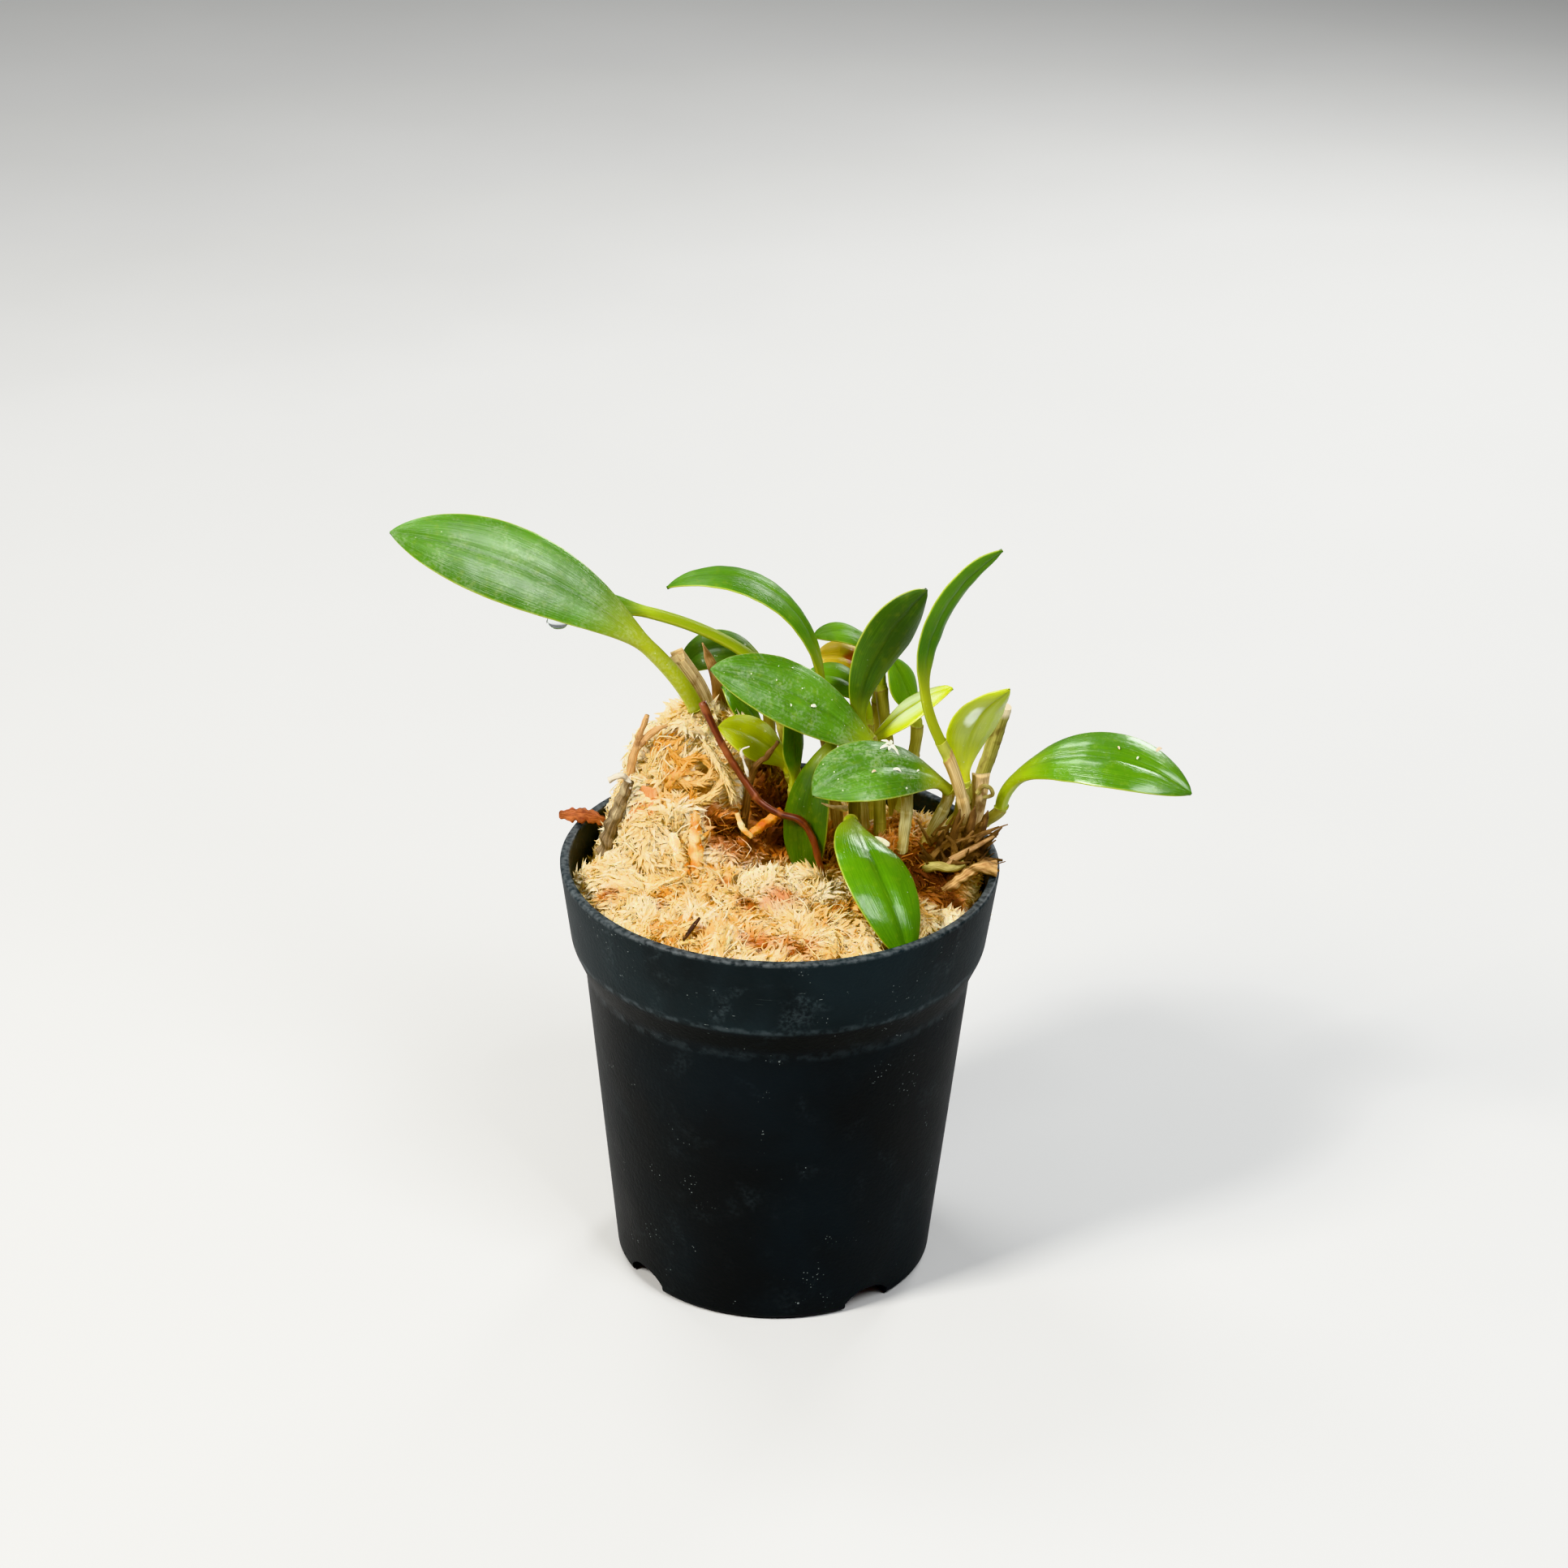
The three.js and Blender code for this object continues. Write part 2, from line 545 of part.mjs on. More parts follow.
// Brown papery sheaths massed in front of the crown, rooted in one bar on the moss
const CROWN_STRIPS = [
  { course: [[19, -0.2, 49.6], [19.4, -1, 52.8], [20.2, -1.4, 57.4]], width: 0.8 },
  { course: [[20.4, 0.2, 49.8], [21.2, -0.6, 53.5], [21.9, -0.9, 57.6]], width: 0.9 },
  { course: [[21.2, 0.2, 50.1], [22.6, -0.2, 53.7], [23.4, -0.3, 56.8]], width: 0.75 },
  { course: [[20.8, -0.4, 50.3], [22.8, 0.4, 52.1], [25.2, 1.6, 53.8]], width: 0.5 },
  { course: [[18.4, -1, 50.2], [20.8, -1.1, 51.4], [23.2, -0.8, 51.6]], width: 0.7 },
  { course: [[18, -0.4, 49.8], [17.9, -1, 52], [18.4, -1.2, 54.6]], width: 0.6 },
  { course: [[17.6, -0.4, 49.8], [16.8, -1.2, 50.8], [15.6, -1.6, 51.8]], width: 0.5 },
];
function crownSheaths(grow) {
  const bar = courseThrough([[17, -0.4, 49.8], [19.2, -0.2, 49.6], [21.2, 0, 49.8]]);
  let clump = solidOf(stalk(bar, () => 0.8 + grow, 6, 4));
  for (const { course, width } of CROWN_STRIPS) {
    const taper = (t) => width * (1 - 0.6 * t) + grow;
    clump = clump.add(solidOf(strip(courseThrough(course), taper, 0.34 + grow, FRONT, 4)));
  }
  return clump;
}

// Thin pointed stalk on the fold of the drooping leaf
function pointedStalk(grow) {
  const curve = courseThrough([[7.4, -1.6, 57.5], [6, -2.6, 58.1], [4.6, -3, 58.8]]);
  return solidOf(stalk(curve, (t) => linear(0.38, 0.3)(t) + grow, 5, 3));
}

// Tan stub lying in the moss by the right rim
function tanStubRight(grow) {
  const curve = courseThrough([[24.5, -3.3, 51.1], [22.7, -3.4, 51.2], [21.2, -3.4, 50.3], [18.6, -3.9, 48.4]]);
  return solidOf(stalk(curve, (t) => linear(0.8, 0.6)(t) + grow, 6, 4));
}

// Dark sliver lying on the moss near the front rim
function darkSliver(grow) {
  const curve = courseThrough([[-10.4, -17, 48.3], [-9.5, -15.2, 48.9], [-8.7, -13.6, 49.4]]);
  return solidOf(strip(curve, () => 0.3 + grow, 0.3 + grow, new THREE.Vector3(0, -0.3, 1), 3));
}

const OLD_GROWTH = [
  { name: 'cut_stump_left', build: cutStumpLeft, finish: SHEATH_TAN },
  { name: 'spiky_stub', build: spikyStub, finish: SHEATH_TAN },
  { name: 'antler_bit', build: antlerBit, finish: SHEATH_TAN },
  { name: 'crusted_stub', build: crustedStub, finish: DRY_BROWN },
  { name: 'bark_sliver', build: barkSliver, finish: BARK_ORANGE },
  { name: 'wiry_stem', build: wiryStem, finish: WIRY_RED },
  { name: 'brown_twig', build: brownTwig, finish: DRY_BROWN },
  { name: 'cut_stump_right', build: cutStumpRight, finish: STEM_OLIVE },
  { name: 'sheath_stub_right', build: sheathStubRight, finish: SHEATH_TAN },
  { name: 'crown_sheaths', build: crownSheaths, finish: DRY_BROWN },
  { name: 'pointed_stalk', build: pointedStalk, finish: SHEATH_TAN },
  { name: 'tan_stub_right', build: tanStubRight, finish: SHEATH_TAN },
  { name: 'dark_sliver', build: darkSliver, finish: DRY_BROWN },
];
const LEAVES_IN_MOSS = ['hanging', 'drooping'];
const LEAF_TINTS = { yellowing: LEAF_YELLOW, pale: LEAF_LIME, cupped: LEAF_LIME, low_yellow: LEAF_LIME };
const SHEATHED_STEMS = ['left_large', 'tall', 'back_long'];

const part = new THREE.Group();

function addNode(name, geometry, meshMaterial) {
  const mesh = new THREE.Mesh(geometry, meshMaterial.clone());
  mesh.name = name;
  part.add(mesh);
}

addNode('pot', potGeometry(), POT_PLASTIC);
const random = seededRandom(MOSS_SEED);
let moss = solidOf(mossCore());
for (let i = 0; i < STRAND_COUNT; i++) {
  moss = moss.add(solidOf(mossStrand(random)));
}
for (const leaf of LEAVES) {
  addNode(`leaf_${leaf.name}`, leafGeometry(leaf), LEAF_TINTS[leaf.name] ?? LEAF_GREEN);
  const curve = stemCurve(leaf);
  const skin = SHEATHED_STEMS.includes(leaf.name) ? SHEATH_TAN : STEM_OLIVE;
  addNode(`stem_${leaf.name}`, stalk(curve, stemRadius, STEM_SIDES, STEM_STEPS), skin);
  const hole = stalk(curve, (t) => stemRadius(t) + FIT_GAP, STEM_SIDES, STEM_STEPS);
  moss = moss.subtract(solidOf(hole));
  if (LEAVES_IN_MOSS.includes(leaf.name)) {
    moss = moss.subtract(solidOf(leafGeometry(leaf, FIT_GAP)));
  }
}
for (const { name, build, finish } of OLD_GROWTH) {
  addNode(name, geometryOf(largestBody(build(0))), finish);
  moss = moss.subtract(build(FIT_GAP));
}
addNode('moss', geometryOf(largestBody(moss)), MOSS_STRAW);

export default part;
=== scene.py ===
"""Dresses a miniature orchid that grows in long-fibre moss in a small round nursery pot.

Every piece is a surface worked out with numpy in the part's own frame: metres, +Z up, the
origin at the centre of the pot's flat underside, -Y the front. Lengths are in millimetres below
unless a docstring says metres, and are turned into metres when a mesh is made. Materials work
in metres.
"""

import logging
import math
from dataclasses import dataclass, field, replace
from enum import Enum
from functools import reduce
from typing import Any, Sequence

import bpy
import numpy as np
from mathutils import Matrix, Vector


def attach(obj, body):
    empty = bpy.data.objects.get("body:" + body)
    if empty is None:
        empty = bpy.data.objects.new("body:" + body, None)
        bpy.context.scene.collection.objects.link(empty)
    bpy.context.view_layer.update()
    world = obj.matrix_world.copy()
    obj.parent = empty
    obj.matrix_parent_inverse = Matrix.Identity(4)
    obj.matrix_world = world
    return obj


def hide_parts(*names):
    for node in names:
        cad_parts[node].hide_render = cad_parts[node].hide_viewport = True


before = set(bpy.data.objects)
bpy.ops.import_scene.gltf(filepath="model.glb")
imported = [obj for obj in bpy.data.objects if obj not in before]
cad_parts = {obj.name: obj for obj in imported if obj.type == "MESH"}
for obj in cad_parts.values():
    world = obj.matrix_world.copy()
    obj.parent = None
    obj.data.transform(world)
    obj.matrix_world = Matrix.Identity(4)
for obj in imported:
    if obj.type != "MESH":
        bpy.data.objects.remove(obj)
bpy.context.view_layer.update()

MM = 0.001
LOG = logging.getLogger("potted_orchid")

Color = tuple[float, float, float]
Point = tuple[float, float, float]
Pair = tuple[float, float]
Socket = bpy.types.NodeSocket
Material = bpy.types.Material

# A direction that no path here follows, to measure sideways from.
ASIDE: Point = (0.31, 0.95, 0.05)


def linear(code: str) -> Color:
    """Turns a screen colour into the linear values that a shader takes.

    Args:
        code: six hexadecimal digits after a hash.

    Returns:
        Red, green and blue from 0 to 1.
    """
    parts = np.array([int(code[i : i + 2], 16) / 255 for i in (1, 3, 5)])
    curve = np.where(parts <= 0.04045, parts / 12.92, ((parts + 0.055) / 1.055) ** 2.4)
    return tuple(float(part) for part in curve)


def unit(vectors: np.ndarray) -> np.ndarray:
    """Scales each vector along the last axis to length one."""
    return vectors / np.maximum(np.linalg.norm(vectors, axis=-1, keepdims=True), 1e-12)


def smooth(x: np.ndarray, low: float, high: float) -> np.ndarray:
    """Rises from 0 at low to 1 at high along 3q^2 - 2q^3."""
    q = np.clip((x - low) / (high - low), 0, 1)
    return q * q * (3 - 2 * q)


def bell(x: np.ndarray, centre: float, reach: float) -> np.ndarray:
    """A bump of height one: exp(-((x - centre) / reach)^2)."""
    return np.exp(-(((x - centre) / reach) ** 2))


def ripple(points: np.ndarray, pitch: float, seed: int, waves: int = 7) -> np.ndarray:
    """Smooth unevenness from -1 to 1: a sum of sine waves in random directions.

    Args:
        points: places in millimetres, with x, y and z along the last axis.
        pitch: about how far apart its bumps are.
        seed: which pattern.
        waves: how many waves are added.

    Returns:
        One value for each place.
    """
    random = np.random.default_rng(seed)
    ways = unit(random.normal(size=(waves, 3))) * (2 * np.pi / pitch)
    ways = ways * random.uniform(0.6, 1.6, (waves, 1))
    turns = random.uniform(0, 2 * np.pi, waves)
    return np.sin(points @ ways.T + turns).sum(axis=-1) / math.sqrt(waves * 2)


def through(knots: Sequence[Point], rows: int) -> np.ndarray:
    """Smooth course through a few points: cubic pieces whose slopes are those between neighbours.

    Args:
        knots: the points.
        rows: how many places to give along it.

    Returns:
        An array of rows by 3.
    """
    p = np.asarray(knots, float)
    slope = np.gradient(p, axis=0)
    s = np.linspace(0, len(p) - 1, rows)
    i = np.minimum(s.astype(int), len(p) - 2)
    q = (s - i)[:, None]
    rise = q * q * (3 - 2 * q)
    return (
        p[i] * (1 - rise)
        + p[i + 1] * rise
        + slope[i] * (q**3 - 2 * q**2 + q)
        + slope[i + 1] * (q**3 - q**2)
    )


def circle(count: int) -> np.ndarray:
    """Evenly spaced turns once round, in radians, the first at 0."""
    return np.linspace(0, 2 * np.pi, count, endpoint=False)


def ball(rows: int, cols: int, gap: float, squash: float = 1.0) -> np.ndarray:
    """Rings of a ball of radius one: (sin a cos b, sin a sin b, squash cos a).

    Args:
        rows: rings from pole to pole, for a.
        cols: points round each ring, for b.
        gap: how far from the poles the first and last ring stay, in radians.
        squash: height as a share of width.

    Returns:
        Rows by columns by 3.
    """
    a = np.linspace(gap, np.pi - gap, rows)[:, None]
    b = circle(cols)[None]
    return np.stack([np.sin(a) * np.cos(b), np.sin(a) * np.sin(b), squash * np.cos(a) + 0 * b], -1)


def frames(paths: np.ndarray, lean: Point | np.ndarray = ASIDE) -> tuple[np.ndarray, ...]:
    """Directions along and across paths: the tangent, lean x tangent, and tangent x that.

    Args:
        paths: places along each path, with the rows on the last axis but one.
        lean: a direction that no path follows, or one for each place.

    Returns:
        The unit vectors along, across and up at each place.
    """
    along = unit(np.gradient(paths, axis=-2))
    across = unit(np.cross(np.asarray(lean, float), along))
    return along, across, np.cross(along, across)


@dataclass
class Shape:
    """A mesh on its way: points in millimetres, faces as runs of corners, and marks on points."""

    points: np.ndarray
    corners: np.ndarray
    sizes: np.ndarray
    marks: dict[str, np.ndarray] = field(default_factory=dict)

    @classmethod
    def loft(cls, rings: np.ndarray, marks: dict[str, np.ndarray] | None = None) -> "Shape":
        """Closed skins through rings: each ring joins the next by four-sided faces.

        Args:
            rings: count by rows by columns by 3, each ring running once round its skin.
            marks: values on the points, in any shape that spreads to count by rows by columns.

        Returns:
            All the skins, flat at both ends, with their faces outwards.
        """
        count, rows, cols = rings.shape[:3]
        i, j = np.meshgrid(np.arange(rows - 1), np.arange(cols), indexing="ij")
        k = (j + 1) % cols
        quads = np.stack([i * cols + j, i * cols + k, (i + 1) * cols + k, (i + 1) * cols + j], -1)
        first = np.arange(cols)[::-1]
        last = np.arange(cols) + (rows - 1) * cols
        run = np.concatenate([quads.ravel(), first, last])
        size = np.concatenate([np.full((rows - 1) * cols, 4), [cols, cols]])
        corners = (run[None] + np.arange(count)[:, None] * rows * cols).ravel()
        flat = {
            name: np.broadcast_to(value, rings.shape[:3]).reshape(-1).copy()
            for name, value in (marks or {}).items()
        }
        shape = cls(rings.reshape(-1, 3), corners, np.tile(size, count), flat)
        return shape.outward()

    @classmethod
    def joined(cls, shapes: Sequence["Shape"]) -> "Shape":
        """Puts several shapes in one mesh, keeping the marks that all of them have.

        Args:
            shapes: the shapes to join.

        Returns:
            One shape with the points and faces of all.
        """
        starts = np.cumsum([0] + [len(shape.points) for shape in shapes[:-1]])
        names = set.intersection(*[set(shape.marks) for shape in shapes])
        return cls(
            np.concatenate([shape.points for shape in shapes]),
            np.concatenate([shape.corners + start for shape, start in zip(shapes, starts)]),
            np.concatenate([shape.sizes for shape in shapes]),
            {name: np.concatenate([shape.marks[name] for shape in shapes]) for name in sorted(names)},
        )

    def outward(self) -> "Shape":
        """Turns all faces round if the volume they enclose comes out negative.

        Returns:
            The same shape, for use in a chain of calls.
        """
        starts = np.concatenate([[0], np.cumsum(self.sizes)[:-1]])
        face = np.repeat(np.arange(len(self.sizes)), self.sizes)
        place = np.arange(len(self.corners)) - starts[face]
        inner = (place > 0) & (place < self.sizes[face] - 1)
        spot = np.flatnonzero(inner)
        a = self.points[self.corners[starts[face[spot]]]]
        b = self.points[self.corners[spot]]
        c = self.points[self.corners[spot + 1]]
        if np.einsum("ij,ij->i", a, np.cross(b, c)).sum() < 0:
            mirrored = starts[face] + self.sizes[face] - 1 - place
            self.corners = self.corners[mirrored]
        return self

    def mark(self, **values: float | np.ndarray) -> "Shape":
        """Writes values on all the points.

        Args:
            values: for each mark's name, one number or one for each point.

        Returns:
            The same shape, for use in a chain of calls.
        """
        for name, value in values.items():
            self.marks[name] = np.broadcast_to(value, len(self.points)).astype(float).copy()
        return self

    def triangles(self) -> int:
        """How many triangles the faces split into."""
        return int((self.sizes - 2).sum())

    def place(
        self, name: str, material: Material, slot: str, nodes: Sequence[str] = (),
        crease: float | None = None,
    ) -> bpy.types.Object:
        """Makes the Blender object, dresses it, and lets it ride on the part.

        Args:
            name: the piece's name.
            material: its finish.
            slot: the record's material slot; not used.
            nodes: the CAD nodes that it stands for.
            crease: the angle in degrees past which an edge stays sharp, or None for all smooth.

        Returns:
            The new object.
        """
        mesh = bpy.data.meshes.new(name)
        mesh.vertices.add(len(self.points))
        mesh.vertices.foreach_set("co", (self.points * MM).astype(np.float32).ravel())
        mesh.loops.add(len(self.corners))
        mesh.loops.foreach_set("vertex_index", self.corners.astype(np.int32))
        mesh.polygons.add(len(self.sizes))
        starts = np.concatenate([[0], np.cumsum(self.sizes)[:-1]]).astype(np.int32)
        mesh.polygons.foreach_set("loop_start", starts)
        mesh.update(calc_edges=True)
        for mark, values in self.marks.items():
            layer = mesh.attributes.new(mark, "FLOAT", "POINT")
            layer.data.foreach_set("value", values.astype(np.float32))
        mesh.shade_smooth()
        if crease is not None:
            mesh.set_sharp_from_angle(angle=math.radians(crease))
        mesh.materials.append(material)
        piece = bpy.data.objects.new(name, mesh)
        bpy.context.scene.collection.objects.link(piece)
        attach(piece, "root")
        if nodes:
            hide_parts(*nodes)
        LOG.info("%s: %d triangles", name, self.triangles())
        return piece


def tubes(
    paths: np.ndarray, radii: np.ndarray, sides: int,
    marks: dict[str, np.ndarray] | None = None, lean: Point | np.ndarray = ASIDE,
) -> Shape:
    """Round skins along paths: path + radius (across cos a + up sin a), for a once round.

    Args:
        paths: count by rows by 3 in millimetres.
        radii: a radius for each place, or for each place and side.
        sides: points round each ring.
        marks: further values, in any shape that spreads to count by rows by sides.
        lean: a direction that no path follows.

    Returns:
        The skins, marked with how far along and around each point is, from 0 to 1.
    """
    _, across, up = frames(paths, lean)
    turn = circle(sides)
    radii = radii[..., None] if radii.ndim == 2 else radii
    radii = np.broadcast_to(radii, paths.shape[:2] + (sides,))[..., None]
    spoke = across[:, :, None] * np.cos(turn)[:, None] + up[:, :, None] * np.sin(turn)[:, None]
    along = np.linspace(0, 1, paths.shape[1])[None, :, None]
    both = {"along": along, "around": turn / (2 * np.pi), **(marks or {})}
    return Shape.loft(paths[:, :, None] + radii * spoke, both)


def ribbon(
    path: np.ndarray, half: np.ndarray, thick: float, face: Point,
    curl: float = 0.0, cols: int = 14, seed: int = 1,
) -> Shape:
    """Papery strip: width by thickness across the path, its edges curled towards its face.

    A ring's points are path + u half side + (curl half u^2 + v thick) out, where u and v run
    once round a flat oval, with a fine unevenness added.

    Args:
        path: rows by 3 in millimetres.
        half: half the width at each row.
        thick: half the thickness.
        face: the direction that the strip turns its face to.
        curl: how far its edges stand up, as a share of half the width.
        cols: points round each ring.
        seed: which unevenness.

    Returns:
        The strip, marked along and around.
    """
    along = unit(np.gradient(path, axis=0))
    side = unit(np.cross(along, np.asarray(face, float)))
    out = np.cross(side, along)
    turn = circle(cols)
    u, v = np.cos(turn), np.sign(np.sin(turn)) * np.abs(np.sin(turn)) ** 0.6
    lift = curl * half[:, None] * u**2 + thick * v
    rings = (
        path[:, None]
        + (half[:, None] * u)[..., None] * side[:, None]
        + lift[..., None] * out[:, None]
    )
    rings = rings + (0.12 * ripple(rings, 1.6, seed) * thick / 0.3)[..., None] * out[:, None]
    rows = np.linspace(0, 1, len(path))[None, :, None]
    return Shape.loft(rings[None], {"along": rows, "around": (u + 1) / 2})


def stalk(
    knots: Sequence[Point], radii: Pair, rough: float, seed: int,
    rows: int = 40, sides: int = 14,
) -> Shape:
    """A round stalk through a few points, its radius running evenly from one end to the other.

    Args:
        knots: points of its course.
        radii: radius at the start and at the end.
        rough: how uneven its skin is, as a share of the radius.
        seed: which unevenness.
        rows: rings along it.
        sides: points round it.

    Returns:
        The stalk.
    """
    path = through(knots, rows)
    radius = np.linspace(*radii, rows)[:, None] * np.ones((1, sides))
    turn = circle(sides)
    spot = path[:, None] + radius[..., None] * np.stack([np.cos(turn), np.sin(turn), 0 * turn], -1)
    radius = radius * (1 + rough * ripple(spot, 1.5, seed))
    return tubes(path[None], radius[None], sides)


class Bench:
    """A bench for one procedural material: it adds nodes and returns their sockets."""

    def __init__(self, name: str) -> None:
        """Starts a material with its one main shader.

        Args:
            name: the material's name.
        """
        self.material = bpy.data.materials.new(name)
        self.material.use_nodes = True
        self.tree = self.material.node_tree
        self.shader = self.tree.nodes["Principled BSDF"]
        self.here = self.tree.nodes.new("ShaderNodeTexCoord").outputs["Object"]

    def feed(self, socket: Socket, source: Any) -> None:
        """Links a socket to another, or sets its number or colour.

        Args:
            socket: the socket to feed.
            source: a socket, a number, a colour's code or its linear values.
        """
        if isinstance(source, Socket):
            self.tree.links.new(source, socket)
        elif isinstance(source, str):
            socket.default_value = (*linear(source), 1.0)
        elif isinstance(source, tuple) and socket.type == "RGBA":
            socket.default_value = (*source, 1.0)
        else:
            socket.default_value = source

    def wire(self, kind: str, inputs: dict[Any, Any], output: Any = 0, **settings: Any) -> Socket:
        """Adds a node, sets its plain properties and feeds its inputs.

        Args:
            kind: the kind of node.
            inputs: what feeds each input, by its name or number.
            output: the name or number of the output that is wanted.
            settings: the plain properties by name.

        Returns:
            That output.
        """
        made = self.tree.nodes.new(kind)
        for name, value in settings.items():
            setattr(made, name, value)
        for key, source in inputs.items():
            self.feed(made.inputs[key], source)
        return made.outputs[output]

    def maths(self, operation: str, *values: Any) -> Socket:
        """Adds a maths node on one to three values."""
        return self.wire("ShaderNodeMath", dict(enumerate(values)), operation=operation)

    def times(self, *values: Any) -> Socket:
        """Multiplies two or more values, from the left."""
        return reduce(lambda product, value: self.maths("MULTIPLY", product, value), values)

    def blend(self, share: Any, a: Any, b: Any) -> Socket:
        """Mixes colour b over colour a by a share from 0 to 1."""
        return self.wire("ShaderNodeMix", {0: share, 6: a, 7: b}, 2, data_type="RGBA")

    def ramp(self, source: Any, stops: Sequence[tuple[float, str]]) -> Socket:
        """Turns a value into a colour through a few stops.

        Args:
            source: the value, from 0 to 1.
            stops: a place from 0 to 1 and a colour's code for each.

        Returns:
            The colour.
        """
        color = self.wire("ShaderNodeValToRGB", {0: source})
        line = color.node.color_ramp
        while len(line.elements) < len(stops):
            line.elements.new(0.5)
        for element, (place, code) in zip(line.elements, stops):
            element.position = place
            element.color = (*linear(code), 1.0)
        return color

    def band(self, source: Any, low: float, high: float, top: float = 1.0) -> Socket:
        """Rises smoothly from 0 to top as the source goes from low to high."""
        ends = {"Value": source, "From Min": low, "From Max": high, "To Max": top}
        return self.wire("ShaderNodeMapRange", ends, interpolation_type="SMOOTHSTEP")

    def mark(self, name: str) -> Socket:
        """Reads one of the piece's own marks."""
        return self.wire("ShaderNodeAttribute", {}, "Fac", attribute_name=name)

    def noise(self, scale: float, detail: float = 4, vector: Any = None, warp: float = 0) -> Socket:
        """Cloudy noise from 0 to 1.

        Args:
            scale: clouds to a unit of the vector, which is metres by default.
            detail: how many finer layers it has.
            vector: what it is laid out on, or None for the piece's own place.
            warp: how far it is pulled about.

        Returns:
            The noise's value.
        """
        inputs = {"Vector": vector or self.here, "Scale": scale, "Detail": detail, "Distortion": warp}
        return self.wire("ShaderNodeTexNoise", inputs, "Fac")

    def dots(self, scale: float, low: float, high: float) -> Socket:
        """Scattered round dots: 0 as far as low from their middles, 1 within high."""
        return self.band(self.cells(scale), low, high)

    def cells(self, scale: float) -> Socket:
        """Distance to the nearest of scattered points."""
        return self.wire("ShaderNodeTexVoronoi", {"Vector": self.here, "Scale": scale}, "Distance")

    def lay(self, **marks: float) -> Socket:
        """A place to lay a pattern on: two of the piece's marks, each times a number."""
        scaled = [self.times(self.mark(name), number) for name, number in marks.items()]
        return self.wire("ShaderNodeCombineXYZ", dict(enumerate(scaled)))

    def bump(self, height: Any, distance: float, strength: float = 1.0) -> None:
        """Adds relief on top of what the shader has.

        Args:
            height: the relief, from 0 to 1.
            distance: how high 1 stands, in metres.
            strength: the share of it that shows.
        """
        inputs = {"Strength": strength, "Distance": distance, "Height": height}
        normal = self.shader.inputs["Normal"]
        if normal.is_linked:
            inputs["Normal"] = normal.links[0].from_socket
        self.feed(normal, self.wire("ShaderNodeBump", inputs, "Normal"))

    def glow(self, share: float, depth: float, reach: Point) -> None:
        """Lets light sink in: its share, its depth in metres and how far red, green and blue go."""
        for name, value in (("Weight", share), ("Scale", depth), ("Radius", reach)):
            self.shader.inputs[f"Subsurface {name}"].default_value = value

    def finish(self, color: Any, roughness: Any, **sockets: Any) -> Material:
        """Feeds the shader and returns the material.

        Args:
            color: the surface's colour.
            roughness: from 0 for a mirror to 1 for chalk.
            sockets: plain values for further sockets, with _ for a space in their names.

        Returns:
            The material.
        """
        self.feed(self.shader.inputs["Base Color"], color)
        self.feed(self.shader.inputs["Roughness"], roughness)
        for name, value in sockets.items():
            self.shader.inputs[name.replace("_", " ")].default_value = value
        return self.material


